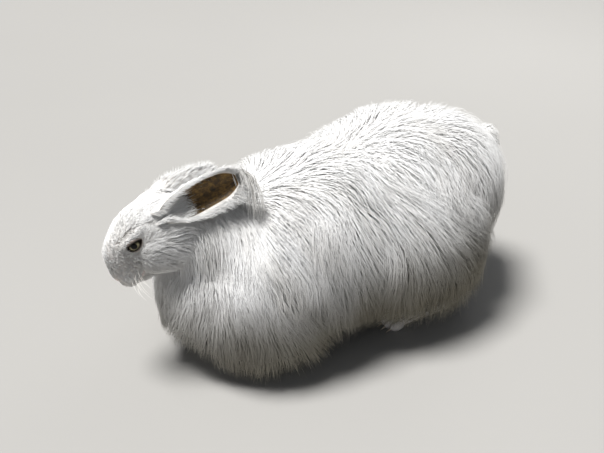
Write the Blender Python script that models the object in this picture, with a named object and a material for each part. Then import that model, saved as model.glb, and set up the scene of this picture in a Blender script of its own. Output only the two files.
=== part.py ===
"""Angora rabbit, a life-size still model: head low, ears back, and a long coat that hangs to the floor.

The rabbit faces -X with its left side towards -Y, and the floor is Z = 0. Units are metres.
Flesh is a smooth blend of ellipsoids. A core lies over it, and flat, tapered locks grow from the core
to the full depth of the coat. The body is then parted into head, neck and torso by thin cuts.
"""

from math import cos, radians, sin

import bmesh
import bpy
import numpy as np
from mathutils import Matrix, Vector

GAP = 0.0003  # what touching pieces keep between them
SLIVER = 0.0000005  # edges shorter than this are melted
FLOOR_CLEARANCE = 0.004  # the coat's tips end this far above the floor

# Head: S runs from the back of the skull to the nose, LAT to the rabbit's right, V up from that line
SKULL_BACK = np.array((-0.146, 0.0, 0.190))
HEAD_PITCH = radians(53)
HEAD_ROLL = radians(8)
SIDEWAYS = np.array((0.0, 1.0, 0.0))
FORWARD = np.array((-cos(HEAD_PITCH), 0.0, -sin(HEAD_PITCH)))
LEVEL_UP = np.array((-sin(HEAD_PITCH), 0.0, cos(HEAD_PITCH)))
HEAD_LAT = SIDEWAYS * cos(HEAD_ROLL) - LEVEL_UP * sin(HEAD_ROLL)
HEAD_UP = LEVEL_UP * cos(HEAD_ROLL) + SIDEWAYS * sin(HEAD_ROLL)

EYE_RADIUS = 0.0085
EYE_S, EYE_LAT, EYE_V = 0.047, 0.0145, 0.0130
LID_THICKNESS = 0.0014
EYE_SLIT_LENGTH, EYE_SLIT_HEIGHT = 0.0165, 0.0105

MOUTH_CORNER_S, MOUTH_FRONT_S = 0.067, 0.090
MOUTH_TURN = 76  # degrees round the muzzle from its middle to each corner of the mouth

EAR_LENGTH = 0.078
EAR_WIDTH = 0.030
EAR_WALL = 0.0022
EAR_PLUG = 0.0062
EAR_ROOT = (0.010, 0.0165, 0.0040)  # s, lat and v of the middle of the ear's root
EAR_WAYS = {-1: (0.925, -0.180, 0.318), 1: (0.886, 0.462, -0.051)}  # from root to tip, left and right

# Locks at each ear's tip: share of the way up, place round the rim, how far back they go and how far down
EAR_LOCKS = [
    (0.60, -0.72, 0.016, 0.004),
    (0.74, -0.66, 0.022, 0.012),
    (0.86, -0.50, 0.026, 0.026),
    (0.95, -0.10, 0.024, 0.040),
    (0.93, 0.35, 0.014, 0.044),
    (0.84, 0.70, 0.006, 0.036),
]
EAR_LOCK_WIDTH, EAR_LOCK_THICKNESS = 0.0135, 0.0036
EAR_LOCK_OUT = 0.007
EAR_LOCK_SIZES = {-1: 1.0, 1: 0.62}

FORELEG_X, FORELEG_Y = -0.058, 0.047
FOREPAW_LENGTH, FOREPAW_WIDTH, FOREPAW_HEIGHT = 0.044, 0.023, 0.018
HIND_TOE_X, HIND_HEEL_X, HINDLEG_Y = 0.070, 0.163, 0.066
HINDFOOT_WIDTH, HINDFOOT_HEIGHT = 0.027, 0.024
TOES_PER_PAW = 4

# Limbs from their upper or rear end: radii, or shares of half the foot's width and height
FOREARM_RADII = (0.0165, 0.0130, 0.0105, 0.0098)
SHANK_RADII = (0.0100, 0.0125, 0.0170, 0.0190)  # from the heel up
PALM_SHARES = ((0.6, 0.6), (1.0, 1.0), (0.8, 0.7))
FOOT_SHARES = ((0.50, 0.60), (0.74, 0.95), (0.88, 0.85), (0.92, 0.62))

TAIL_ROOT = np.array((0.186, 0.0, 0.146))
TAIL_LENGTH = 0.054
TAIL_RISE = radians(32)
TAIL_COAT = 0.012

# Thin cuts between head, neck and torso, each as an upper and a lower place in the middle plane (x, z)
HEAD_CUT = ((-0.104, 0.210), (-0.172, 0.090))
NECK_CUT = ((-0.062, 0.220), (-0.165, 0.060))

CORE_SHARE = 0.48  # how much of the coat's depth is solid core

# The body's locks: how many, their size, and how far apart they grow along the coat's lie and across it
LOCK_COUNT = 102
LOCK_LENGTH, LOCK_WIDTH, LOCK_THICKNESS = 0.098, 0.040, 0.008
LOCK_SPACING = (0.056, 0.036)
LOCK_SINK = 0.008  # how deep a root goes into the core
LOCK_ROLL = radians(7)  # neighbours lie over one another like shingles
LOCK_WIDTH_SHARES = (0.60, 1.00, 0.86, 0.50)
LOCK_HEIGHT_SHARES = (0.68, 0.86, 0.96, 0.92)  # height in the coat at each step after the root
LOCK_FLATTER_ON_TOP = 0.14
LOCK_STIFFNESS = 0.45  # how much of its heading a lock keeps from one step to the next
LOCK_LENGTH_RANGE, LOCK_TURN_RANGE = (0.84, 1.16), radians(9)
LOCK_SEED = 29
UNDERSIDE = -0.45  # no lock grows where the surface looks further down than this

# The coat's hem: its height (x, z) under the flanks, and how much higher it ends for each metre further out
HEM_LINE = np.array(
    ((-0.14, 0.055), (-0.11, 0.008), (-0.04, 0.004), (0.00, 0.013), (0.03, 0.028), (0.06, 0.018),
     (0.15, 0.018), (0.22, 0.072))
)
HEM_FLANK, HEM_RISE = 0.060, 0.32
HEM_MARGIN = 0.012  # how far over the hem the lowest locks start

# Roots of the locks along the spine
SPINE_FROM, SPINE_TO, SPINE_LOCKS, SPINE_ASIDE = -0.062, 0.170, 11, 0.004

# Locks of the cheeks and the nape: s along the head, turn round it from its top, and length
HEAD_LOCKS = [
    (0.006, 20, 0.036),
    (0.030, 112, 0.026),
    (0.040, 138, 0.028),
    (0.022, 140, 0.034),
    (0.012, 100, 0.034),
]
HEAD_LOCK_WIDTH, HEAD_LOCK_THICKNESS, HEAD_LOCK_SINK = 0.019, 0.0045, 0.005

# Locks round the tail: share of the way along it, turn round it from its top, and length
TAIL_LOCKS = [
    (0.20, 35, 0.040),
    (0.18, 105, 0.044),
    (0.20, 180, 0.046),
    (0.18, 255, 0.044),
    (0.20, 325, 0.040),
    (0.62, 0, 0.036),
    (0.58, 75, 0.038),
    (0.60, 145, 0.040),
    (0.60, 215, 0.040),
    (0.58, 285, 0.038),
]
TAIL_LOCK_WIDTH, TAIL_LOCK_THICKNESS, TAIL_LOCK_SINK = 0.019, 0.005, 0.004


def head_point(s, lat, v):
    """The place at s along the head, lat to its right and v up."""
    return SKULL_BACK + FORWARD * s + HEAD_LAT * lat + HEAD_UP * v


def both_sides(centre, radii, pitch=0.0):
    """The same ellipsoid on the rabbit's left and right."""
    x, y, z = centre
    return [((x, -y, z), radii, pitch), ((x, y, z), radii, pitch)]


# Flesh of the trunk: centre, radii and pitch of each ellipsoid, where a positive pitch turns the front down
TRUNK_BLEND = 0.016
TRUNK = [
    ((-0.005, 0, 0.118), (0.120, 0.063, 0.060), 0.0),
    ((0.108, 0, 0.135), (0.096, 0.066, 0.060), radians(4)),
    ((0.163, 0, 0.130), (0.052, 0.054, 0.052), 0.0),
    *both_sides((0.106, 0.046, 0.102), (0.070, 0.037, 0.057), radians(-10)),
    ((-0.092, 0, 0.090), (0.054, 0.054, 0.060), 0.0),
    *both_sides((-0.060, 0.043, 0.086), (0.057, 0.034, 0.056)),
    ((-0.098, 0, 0.141), (0.052, 0.038, 0.034), radians(-25)),
]

# Flesh of the head, in its own frame: s, lat and v of each centre, radii and extra pitch
HEAD_BLEND = 0.006
HEAD = [
    ((0.029, 0, 0.003), (0.034, 0.0220, 0.0245), 0.0),
    ((0.055, 0, 0.0045), (0.032, 0.0175, 0.0220), 0.0),
    ((0.074, 0, -0.003), (0.0225, 0.0130, 0.0165), 0.0),
    *both_sides((0.040, 0.014, -0.013), (0.026, 0.0125, 0.019)),
    ((0.057, 0, -0.0160), (0.026, 0.011, 0.009), 0.0),
    *both_sides((0.0835, 0.0065, -0.006), (0.0125, 0.0085, 0.0105)),
    ((0.0730, 0, -0.0155), (0.011, 0.0075, 0.0060), 0.0),
    *both_sides((0.045, 0.0145, 0.018), (0.014, 0.0065, 0.0055), radians(-8)),
]
HEAD_COAT = 0.003
HEAD_CLEARANCE = 0.004  # how far from the head the body's locks have their roots

# Depth of the coat over the flesh near each of these places
COAT_DEPTHS = [
    ((0.00, 0.00, 0.200), 0.024),
    ((0.11, 0.00, 0.215), 0.029),
    ((0.22, 0.00, 0.150), 0.032),
    *[((0.00, side, 0.120), 0.036) for side in (-0.08, 0.08)],
    *[((0.12, side, 0.110), 0.031) for side in (-0.10, 0.10)],
    ((0.00, 0.00, 0.040), 0.030),
    ((0.12, 0.00, 0.040), 0.024),
    *[((-0.08, side, 0.080), 0.034) for side in (-0.08, 0.08)],
    ((-0.15, 0.00, 0.070), 0.018),
    ((-0.09, 0.00, 0.040), 0.028),
    ((-0.08, 0.00, 0.190), 0.011),
    ((-0.13, 0.00, 0.160), 0.007),
    *[((0.18, side, 0.070), 0.020) for side in (-0.07, 0.07)],
    ((0.20, 0.00, 0.070), 0.022),
]
DEPTH_SPREAD = 0.045

# The line inside the trunk that its surface is cast from, rear to front (x, z)
TRUNK_LINE = np.array(
    ((0.175, 0.122), (0.13, 0.124), (0.05, 0.118), (-0.03, 0.112), (-0.085, 0.108), (-0.105, 0.118))
)


def ellipsoid_fields(points, parts):
    """How far each point is outside each ellipsoid, as a list of arrays."""
    found = []
    for centre, radii, pitch in parts:
        offset = points - np.asarray(centre)
        along = offset[..., 0] * cos(pitch) + offset[..., 2] * sin(pitch)
        across = -offset[..., 0] * sin(pitch) + offset[..., 2] * cos(pitch)
        local = np.stack([along, offset[..., 1], across], -1)
        near = np.linalg.norm(local / radii, axis=-1)
        steep = np.linalg.norm(local / np.square(radii), axis=-1)
        found.append(near * (near - 1) / np.maximum(steep, 1e-9))
    return np.stack(found)


def blended(points, parts, blend):
    """Signed distance to the ellipsoids melted together over the blend's width."""
    fields = ellipsoid_fields(points, parts)
    nearest = fields.min(0)
    soft = blend / 4
    return nearest - soft * np.log(np.exp(-(fields - nearest) / soft).sum(0))


def trunk_field(points):
    return blended(points, TRUNK, TRUNK_BLEND)


def in_head_frame(points):
    """Points as x = -s, y = lat, z = v, the frame in which the head's ellipsoids are written."""
    offset = points - SKULL_BACK
    return np.stack([-(offset @ FORWARD), offset @ HEAD_LAT, offset @ HEAD_UP], -1)


def head_field(points):
    parts = [((-s, lat, v), radii, pitch) for (s, lat, v), radii, pitch in HEAD]
    return blended(in_head_frame(points), parts, HEAD_BLEND)


def coat_depth(points):
    """Depth of the coat at each point, a weighted mean of the depths listed."""
    places = np.array([place for place, _ in COAT_DEPTHS])
    depths = np.array([depth for _, depth in COAT_DEPTHS])
    apart = np.square(points[..., None, :] - places).sum(-1)
    weight = np.exp(-apart / (2 * DEPTH_SPREAD**2)) + 1e-9
    return (weight * depths).sum(-1) / weight.sum(-1)


def cast(field, starts, ways, reach, steps=48):
    """The place on each ray where the field turns positive, found by halving."""
    marks = np.linspace(0, reach, steps)
    outside = field(starts[..., None, :] + ways[..., None, :] * marks[:, None]) > 0
    first = np.maximum(np.argmax(outside, axis=-1), 1)
    low, high = marks[first - 1], marks[first]
    for _ in range(20):
        middle = (low + high) / 2
        out = field(starts + ways * middle[..., None]) > 0
        high = np.where(out, middle, high)
        low = np.where(out, low, middle)
    return starts + ways * ((low + high) / 2)[..., None]


def rays(line, tangents, up, side, turns, end_power):
    """Rays from a line in rings: across it along its middle, and fanned out to its ends."""
    share = np.linspace(0, 1, len(line))
    tilt = radians(89.9) * np.sign(2 * share - 1) * np.abs(2 * share - 1) ** end_power
    angle = np.linspace(0, 2 * np.pi, turns, endpoint=False)[None, :, None]
    radial = np.cos(angle) * up[:, None, :] + np.sin(angle) * side
    ways = radial * np.cos(tilt)[:, None, None] + tangents[:, None, :] * np.sin(tilt)[:, None, None]
    return np.broadcast_to(line[:, None, :], ways.shape), ways


def trunk_grid(field, rings, turns):
    """The trunk's surface as rings of points, from the rear end to the front."""
    share = np.linspace(0, 1, rings)

    def at(where):
        marks = np.clip(where, 0, 1) * (len(TRUNK_LINE) - 1)
        count = np.arange(len(TRUNK_LINE))
        x, z = (np.interp(marks, count, TRUNK_LINE[:, i]) for i in (0, 1))
        return np.stack([x, 0 * x, z], -1)

    tangents = at(share + 1e-3) - at(share - 1e-3)
    tangents /= np.linalg.norm(tangents, axis=-1, keepdims=True)
    up = np.cross(SIDEWAYS, tangents) * -1
    starts, ways = rays(at(share), tangents, up, SIDEWAYS, turns, 3.0)
    return cast(field, starts, ways, 0.22)


def head_grid(field, rings, turns):
    """The head's surface as rings of points, from its back to the nose."""
    s = np.linspace(0.022, 0.082, rings)[:, None]
    line = SKULL_BACK + FORWARD * s - HEAD_UP * 0.002
    tangents = np.broadcast_to(FORWARD, line.shape)
    up = np.broadcast_to(HEAD_UP, line.shape)
    starts, ways = rays(line, tangents, up, HEAD_LAT, turns, 2.2)
    return cast(field, starts, ways, 0.09)


def mesh_object(name, points, faces):
    """An object from points and faces, with its faces turned outwards."""
    mesh = bpy.data.meshes.new(name)
    mesh.from_pydata([tuple(p) for p in points], [], faces)
    shape = bmesh.new()
    shape.from_mesh(mesh)
    bmesh.ops.remove_doubles(shape, verts=shape.verts, dist=1e-6)
    bmesh.ops.recalc_face_normals(shape, faces=shape.faces)
    bmesh.ops.triangulate(shape, faces=shape.faces)
    shape.to_mesh(mesh)
    shape.free()
    made = bpy.data.objects.new(name, mesh)
    bpy.context.scene.collection.objects.link(made)
    return made


def closed_tube(name, rings):
    """A closed surface over rings of points, with a point at the middle of each end."""
    count, turns = rings.shape[:2]
    points = np.concatenate([rings.reshape(-1, 3), [rings[0].mean(0)], [rings[-1].mean(0)]])
    first, last = count * turns, count * turns + 1
    faces = []
    for i in range(count - 1):
        for j in range(turns):
            k = (j + 1) % turns
            faces.append((i * turns + j, i * turns + k, (i + 1) * turns + k, (i + 1) * turns + j))
    for j in range(turns):
        k = (j + 1) % turns
        faces.append((first, k, j))
        faces.append((last, (count - 1) * turns + j, (count - 1) * turns + k))
    return mesh_object(name, points, faces)


def ellipsoid(name, centre, axes, segments=14, rings=9):
    """A closed ellipsoid whose three half axes are given as vectors."""
    made = bpy.data.meshes.new(name)
    shape = bmesh.new()
    bmesh.ops.create_uvsphere(shape, u_segments=segments, v_segments=rings, radius=1.0)
    for vertex in shape.verts:
        x, y, z = vertex.co
        vertex.co = Vector(centre) + Vector(axes[0]) * x + Vector(axes[1]) * y + Vector(axes[2]) * z
    if np.linalg.det(np.array(axes)) < 0:
        bmesh.ops.reverse_faces(shape, faces=shape.faces)
    shape.to_mesh(made)
    shape.free()
    found = bpy.data.objects.new(name, made)
    bpy.context.scene.collection.objects.link(found)
    return found


def modify(target, operation, others, solver="MANIFOLD"):
    """Joins or cuts the target with a collection of closed meshes, which are then removed."""
    group = bpy.data.collections.new("operands")
    bpy.context.scene.collection.children.link(group)
    for other in others:
        bpy.context.scene.collection.objects.unlink(other)
        group.objects.link(other)
    step = target.modifiers.new("step", "BOOLEAN")
    step.operation = operation
    step.operand_type = "COLLECTION"
    step.collection = group
    step.solver = solver
    bpy.context.view_layer.objects.active = target
    bpy.ops.object.modifier_apply(modifier=step.name)
    for other in others:
        bpy.data.objects.remove(other)
    bpy.data.collections.remove(group)
    return target


def drop_fins(shape):
    """Drops each pair of faces that lie back to back on the same corners, which enclose nothing."""
    found = {}
    for face in shape.faces:
        found.setdefault(frozenset(face.verts), []).append(face)
    fins = [face for faces in found.values() if len(faces) > 1 for face in faces]
    bmesh.ops.delete(shape, geom=fins, context="FACES")


def keep_largest(target):
    """Melts slivers, and drops all but the largest closed surface of a mesh."""
    shape = bmesh.new()
    shape.from_mesh(target.data)
    bmesh.ops.triangulate(shape, faces=shape.faces)
    bmesh.ops.remove_doubles(shape, verts=shape.verts, dist=SLIVER)
    bmesh.ops.dissolve_degenerate(shape, edges=shape.edges, dist=SLIVER)
    drop_fins(shape)
    unseen, islands = set(shape.verts), []
    while unseen:
        front, island = [unseen.pop()], []
        while front:
            vertex = front.pop()
            island.append(vertex)
            for edge in vertex.link_edges:
                other = edge.other_vert(vertex)
                if other in unseen:
                    unseen.discard(other)
                    front.append(other)
        islands.append(island)
    islands.sort(key=lambda island: extent(island), reverse=True)
    for island in islands[1:]:
        bmesh.ops.delete(shape, geom=island, context="VERTS")
    shape.to_mesh(target.data)
    shape.free()
    return target


def extent(vertices):
    """The diagonal of the vertices' box."""
    places = np.array([vertex.co for vertex in vertices])
    return float(np.linalg.norm(places.max(0) - places.min(0)))


def copy_of(source, name):
    made = bpy.data.objects.new(name, source.data.copy())
    bpy.context.scene.collection.objects.link(made)
    return made


def half_space(cut, rear, name):
    """A big slab from half a gap short of one of the cuts, in front of it or behind."""
    (top_x, top_z), (low_x, low_z) = cut
    top, low = np.array((top_x, 0, top_z)), np.array((low_x, 0, low_z))
    along = (top - low) / np.linalg.norm(top - low)
    out = np.cross(along, SIDEWAYS)
    out *= np.sign(out[0]) if rear else -np.sign(out[0])
    middle = (top + low) / 2 - out * GAP / 2
    size = 0.6
    corners = []
    for reach in (0, size):
        for up in (-size, size):
            for side in (-size, size):
                corners.append(middle + out * reach + along * up + SIDEWAYS * side)
    faces = [(0, 1, 3, 2), (4, 6, 7, 5), (0, 4, 5, 1), (2, 3, 7, 6), (0, 2, 6, 4), (1, 5, 7, 3)]
    return mesh_object(name, corners, faces)


def floor_block(height):
    """A block under the given height, for cutting soles flat and keeping tips off the floor."""
    size = 0.6
    corners = [(x, y, z) for z in (height - 0.1, height) for y in (-size, size) for x in (-size, size)]
    faces = [(0, 2, 3, 1), (4, 5, 7, 6), (0, 1, 5, 4), (2, 6, 7, 3), (0, 4, 6, 2), (1, 3, 7, 5)]
    return mesh_object("floor_block", corners, faces)


def eye_centre(side):
    return head_point(EYE_S, side * EYE_LAT, EYE_V)


def eye_look(side):
    """The way the eye looks: sideways, a little forwards and up."""
    look = HEAD_LAT * side + FORWARD * 0.16 + HEAD_UP * 0.14
    return look / np.linalg.norm(look)


def ball(name, centre, radius, look, segments=14, rings=8):
    """A round ball whose poles lie along the look."""
    first = np.cross(look, FORWARD)
    first /= np.linalg.norm(first)
    second = np.cross(look, first)
    return ellipsoid(name, centre, (first * radius, second * radius, look * radius), segments, rings)


def eye(name, side, grow=0.0):
    return ball(name, eye_centre(side), EYE_RADIUS + grow, eye_look(side))


def eye_slit(side):
    """What opens the lids: an almond that lies along the head, higher at its rear corner."""
    look = eye_look(side)
    along = FORWARD - look * (FORWARD @ look) - HEAD_UP * 0.10
    along /= np.linalg.norm(along)
    across = np.cross(look, along)
    place = eye_centre(side) + look * (EYE_RADIUS + LID_THICKNESS)
    axes = (along * EYE_SLIT_LENGTH / 2, across * EYE_SLIT_HEIGHT / 2, look * EYE_RADIUS * 0.75)
    return ellipsoid("eye_slit", place, axes, 14, 7)


def ear_frame(side):
    """Root, and the ways along the ear, across it and out of its cup."""
    s, lat, v = EAR_ROOT
    root = head_point(s, side * lat, v)
    along = np.array(EAR_WAYS[side])
    along /= np.linalg.norm(along)
    out = np.array((-0.22, side * 0.88, 0.36))
    out -= along * (out @ along)
    out /= np.linalg.norm(out)
    return root, along, np.cross(along, out) * side, out


def ear_point(side, share, angle, wall=0.0):
    """A place on the ear's shell, share of the way up it and at an angle round its cup."""
    root, along, across, out = ear_frame(side)
    width = EAR_WIDTH * (0.36 + 0.64 * np.sin(np.pi * np.clip(share, 0, 1) ** 0.75 * 0.80) ** 0.9)
    width = width * np.sqrt(np.clip(1 - np.clip((share - 0.80) / 0.215, 0, 1) ** 2, 0.004, 1))
    roll = np.radians(125 - 75 * np.clip(share, 0, 1) ** 0.6)
    radius = width / 2 / np.maximum(np.sin(np.minimum(roll, np.pi / 2)), 0.3)
    turn = angle * roll
    droop = -out * 0.004 * share**2
    centre = root + along * EAR_LENGTH * share + droop
    radius = radius + wall
    return centre + across * radius * np.sin(turn) - out * (radius * np.cos(turn) - radius * 0.5)


def ear_plug(side, grow=0.0):
    """The ear's root, which closes the bottom of its cup and enters the head."""
    root, along, across, out = ear_frame(side)
    axes = (along * (EAR_PLUG * 1.3 + grow), across * (EAR_PLUG + grow), out * (EAR_PLUG * 0.75 + grow))
    return ellipsoid("ear_plug", root - along * EAR_PLUG + out * EAR_PLUG * 0.2, axes, 10, 7)


def ear_room(side):
    """The room that the coat leaves for an ear: its outer shell, its open cup, its root and its tuft."""
    _, _, _, out = ear_frame(side)
    turns = np.linspace(-1.03, 1.03, 9)
    rings = []
    for share in np.linspace(-0.09, 1.01, 10):
        arc = [ear_point(side, share, turn, EAR_WALL + GAP * 2) for turn in turns]
        rings.append([arc[0] + out * EAR_WALL, *arc, arc[-1] + out * EAR_WALL])
    room = closed_tube("ear_room", np.array(rings))
    return modify(room, "UNION", [ear_plug(side, GAP), *ear_locks(side, GAP)])


def ear(name, side):
    """A furled cup: an inner and an outer shell that meet along the rim, on a plug that enters the head."""
    ups, rounds = 12, 9
    shares = np.concatenate([[-0.07], np.linspace(0.02, 1.0, ups - 1)])
    turns = np.linspace(-1, 1, rounds)
    points, index = [], {}
    for layer, wall in enumerate((0.0, EAR_WALL)):
        for i, share in enumerate(shares):
            for j, turn in enumerate(turns):
                index[layer, i, j] = len(points)
                points.append(ear_point(side, share, turn, wall))
    faces = []
    for i in range(ups - 1):
        for j in range(rounds - 1):
            square = [(i, j), (i + 1, j), (i + 1, j + 1), (i, j + 1)]
            for half in ((0, 1, 2), (0, 2, 3)):
                faces.append([index[(0, *square[k])] for k in half])
                faces.append([index[(1, *square[k])] for k in reversed(half)])
    rim = [(i, 0) for i in range(ups)] + [(ups - 1, j) for j in range(1, rounds)]
    rim += [(i, rounds - 1) for i in reversed(range(ups - 1))]
    rim += [(0, j) for j in reversed(range(1, rounds - 1))]
    for a, b in zip(rim, rim[1:] + rim[:1]):
        faces.append([index[(0, *a)], index[(1, *a)], index[(1, *b)], index[(0, *b)]])
    return modify(mesh_object(name, points, faces), "UNION", [ear_plug(side), *ear_locks(side)])


def unit(ways):
    return ways / np.linalg.norm(ways, axis=-1, keepdims=True)


def flat_lock(name, places, outs, widths, thickness, roll=0.0, grow=0.0):
    """A flat, tapered lock: a low ridged section carried along the places, which ends in a point."""
    places, outs = np.array(places, float), np.array(outs, float)
    heading = unit(np.gradient(places, axis=0))
    places[-1] += heading[-1] * grow * 12
    sides = unit(np.cross(heading, outs))
    flats = np.cross(sides, heading)
    sides, flats = sides * cos(roll) + flats * sin(roll), flats * cos(roll) - sides * sin(roll)
    size = np.array(widths)[:, None]
    half, rise = size / 2 + grow * 3, thickness * (size / size.max()) ** 0.7 + grow * 3
    base = places[:-1]
    low, ridge = flats[:-1] * rise * -0.35, flats[:-1] * rise * 0.65
    rings = np.stack([base + sides[:-1] * half + low, base + ridge, base - sides[:-1] * half + low], 1)
    count = len(base)
    points = np.concatenate([rings.reshape(-1, 3), places[-1:]])
    faces = [(0, 1, 2)]
    for i in range(count - 1):
        for j in range(3):
            k = (j + 1) % 3
            faces += [(i * 3 + j, i * 3 + k, i * 3 + 3 + k), (i * 3 + j, i * 3 + 3 + k, i * 3 + 3 + j)]
    tip = count * 3
    faces += [(tip, tip - 3 + (j + 1) % 3, tip - 3 + j) for j in range(3)]
    return mesh_object(name, points, faces)


def coat_lie(points, outs):
    """The way the long coat lies: parted along the spine, down the sides, and backwards over the hips."""
    x, y = points[:, 0], points[:, 1]
    backward = (0.12 + 0.48 * np.clip((x + 0.05) / 0.15, 0, 1)) * np.clip((0.22 - x) / 0.07, 0, 1)
    backward += 0.25 * np.clip(outs[:, 2], 0, 1)
    parted = 0.9 * np.clip(y / 0.02, -1, 1) * np.clip(outs[:, 2], 0, 1)
    way = np.stack([backward, parted, np.full(len(points), -0.78)], -1)
    held = np.clip(1 + outs[:, 2:] * 2.5, 0, 1)
    return unit(way - outs * (way * outs).sum(-1, keepdims=True) * held)


def spread(points, ways, first, count, spacing):
    """Picks points one after another, each as far as can be from those before, so that they lie evenly."""
    picked = []
    nearest = np.full(len(points), np.inf)
    for i in range(count):
        picked.append(first[i] if i < len(first) else int(np.argmax(nearest)))
        last = picked[-1]
        offset = points - points[last]
        along = (offset * (ways + ways[last]) / 2).sum(-1)
        across = np.sqrt(np.maximum(np.square(offset).sum(-1) - along**2, 0))
        nearest = np.minimum(nearest, np.hypot(along / spacing[0], across / spacing[1]))
    return picked


def at_height(points, share):
    """Moves points along the field's slope to a share of the coat's depth over the flesh."""
    for _ in range(3):
        excess = trunk_field(points) - coat_depth(points) * share
        points = points - slope(trunk_field, points) * excess[:, None]
    return points


def hem_height(points):
    """How high over the floor the coat ends at each place."""
    line = np.interp(points[..., 0], HEM_LINE[:, 0], HEM_LINE[:, 1])
    return line + HEM_RISE * np.maximum(np.abs(points[..., 1]) - HEM_FLANK, 0)


def lock_paths(roots, lengths, turns):
    """Carries locks from their roots along the coat's lie, while they rise to their height in the coat."""
    point = at_height(roots, CORE_SHARE)
    out = slope(trunk_field, point)
    facing = out
    places, facings = [point - out * LOCK_SINK], [facing]
    heading = coat_lie(point, out) + out * 0.3
    step = (lengths / len(LOCK_HEIGHT_SHARES))[:, None]
    for share in LOCK_HEIGHT_SHARES:
        way = coat_lie(point, out)
        way = way * np.cos(turns) + np.cross(out, way) * np.sin(turns)
        flatter = 1 - LOCK_FLATTER_ON_TOP * np.clip(out[:, 2], 0, 1)
        rise = (coat_depth(point) * share * flatter - trunk_field(point))[:, None] / step
        rise = np.where(rise < 0, rise * np.clip(1 + out[:, 2:] * 2.5, 0, 1), rise)
        heading = unit(unit(heading) * LOCK_STIFFNESS + unit(way + out * np.clip(rise, -0.8, 0.8)))
        point = point + heading * step
        out = slope(trunk_field, point)
        facing = unit(facing + out)
        places.append(point)
        facings.append(facing)
    return np.stack(places, 1), np.stack(facings, 1)


def body_locks():
    """The locks of the long coat over neck and torso, with a row of their own along the spine."""
    draw = np.random.default_rng(LOCK_SEED)
    roots = trunk_grid(trunk_field, 90, 120)[1:-1].reshape(-1, 3)
    outs = slope(trunk_field, roots)
    clear = (head_field(roots) > HEAD_CLEARANCE) & (outs[:, 2] > UNDERSIDE)
    clear &= roots[:, 2] > hem_height(roots) + HEM_MARGIN
    roots, outs = roots[clear], outs[clear]
    first = []
    for i, x in enumerate(np.linspace(SPINE_FROM, SPINE_TO, SPINE_LOCKS)):
        apart = np.abs(roots - (x, SPINE_ASIDE * (-1) ** i, 0)) @ (1, 1, 0) + (outs[:, 2] < 0)
        first.append(int(np.argmin(apart)))
    roots = roots[spread(roots, coat_lie(roots, outs), first, LOCK_COUNT, LOCK_SPACING)]
    lengths = LOCK_LENGTH * draw.uniform(*LOCK_LENGTH_RANGE, len(roots))
    turns = draw.uniform(-1, 1, (len(roots), 1)) * LOCK_TURN_RANGE
    rolls = draw.uniform(-1, 1, len(roots)) * LOCK_ROLL
    places, outs = lock_paths(roots, lengths, turns)
    fall = places[:, 0, 2] - places[:, -1, 2]
    room = places[:, 0, 2] - hem_height(places[:, -1])
    lengths = lengths * np.clip(room / np.maximum(fall, 1e-4), 0.3, 1)
    places, outs = lock_paths(roots, lengths, turns)
    widths = LOCK_WIDTH * np.array(LOCK_WIDTH_SHARES)
    sizes = (lengths / LOCK_LENGTH) ** 0.5
    return [
        flat_lock("lock", places[i], outs[i], widths * sizes[i], LOCK_THICKNESS, rolls[i])
        for i in range(len(roots))
    ]


def curl(start, way, bend, length, steps=4):
    """Places along a path that starts one way and bends to another."""
    places = [np.array(start)]
    for i in range(steps):
        heading = unit(unit(way) * (1 - i / steps) + unit(bend) * (i / steps))
        places.append(places[-1] + heading * length / steps)
    return np.array(places)


def ear_locks(side, grow=0.0):
    """The long hair at the ear's tip, which leaves its rim backwards and hangs down."""
    _, along, _, out = ear_frame(side)
    size = EAR_LOCK_SIZES[side]
    made = []
    for share, rim, back, down in EAR_LOCKS:
        start = ear_point(side, share, rim, EAR_WALL / 2) - along * 0.002
        steps = np.linspace(0, 1, 5)[:, None]
        reach = along * back * steps**0.8 + np.array((0, 0, -down)) * steps**1.4
        places = start + (reach + out * EAR_LOCK_OUT * steps) * size
        outs = np.tile(out + along * 0.4, (len(places), 1))
        widths = np.array(LOCK_WIDTH_SHARES) * EAR_LOCK_WIDTH * size
        made.append(flat_lock("ear_lock", places, outs, widths, EAR_LOCK_THICKNESS * size, 0.0, grow))
    return made


def head_locks():
    """Locks on cheeks and nape, which lead from the short hair of the face to the long coat."""
    made = []
    for s, turn, length in HEAD_LOCKS:
        for side in (-1, 1):
            angle = radians(turn) * side
            way = HEAD_UP * cos(angle) + HEAD_LAT * sin(angle)
            start = head_point(max(s, 0.022), 0, -0.002)
            way = way - FORWARD * max(0.022 - s, 0) / 0.022
            root = cast(muzzle_surface, start[None], unit(way)[None], 0.08)[0]
            out = slope(head_field, root[None])[0]
            down = np.array((0.30, 0.12 * side, -1.0))
            back = unit(-FORWARD * 0.9 + down * 0.4)
            lie = unit(back - out * (back @ out)) + out * 0.12
            places = curl(root, lie, unit(down), length)
            places[0] = root - out * HEAD_LOCK_SINK
            widths = np.array(LOCK_WIDTH_SHARES) * HEAD_LOCK_WIDTH
            outs = np.tile(out, (len(places), 1))
            made.append(flat_lock("head_lock", places, outs, widths, HEAD_LOCK_THICKNESS))
    return made


def tapered(name, places, radii, side_way, sides=8):
    """A round limb through the places, with its width and height at each as radii."""
    places, radii = np.array(places, float), np.array(radii, float)
    heading = np.gradient(places, axis=0)
    heading /= np.linalg.norm(heading, axis=1, keepdims=True)
    angle = np.linspace(0, 2 * np.pi, sides, endpoint=False)
    rings = []
    for place, (wide, high), way in zip(places, radii, heading):
        up = np.cross(way, side_way)
        up /= np.linalg.norm(up)
        rings.append(place + np.outer(np.cos(angle), side_way) * wide + np.outer(np.sin(angle), up) * high)
    return closed_tube(name, np.array(rings))


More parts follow.
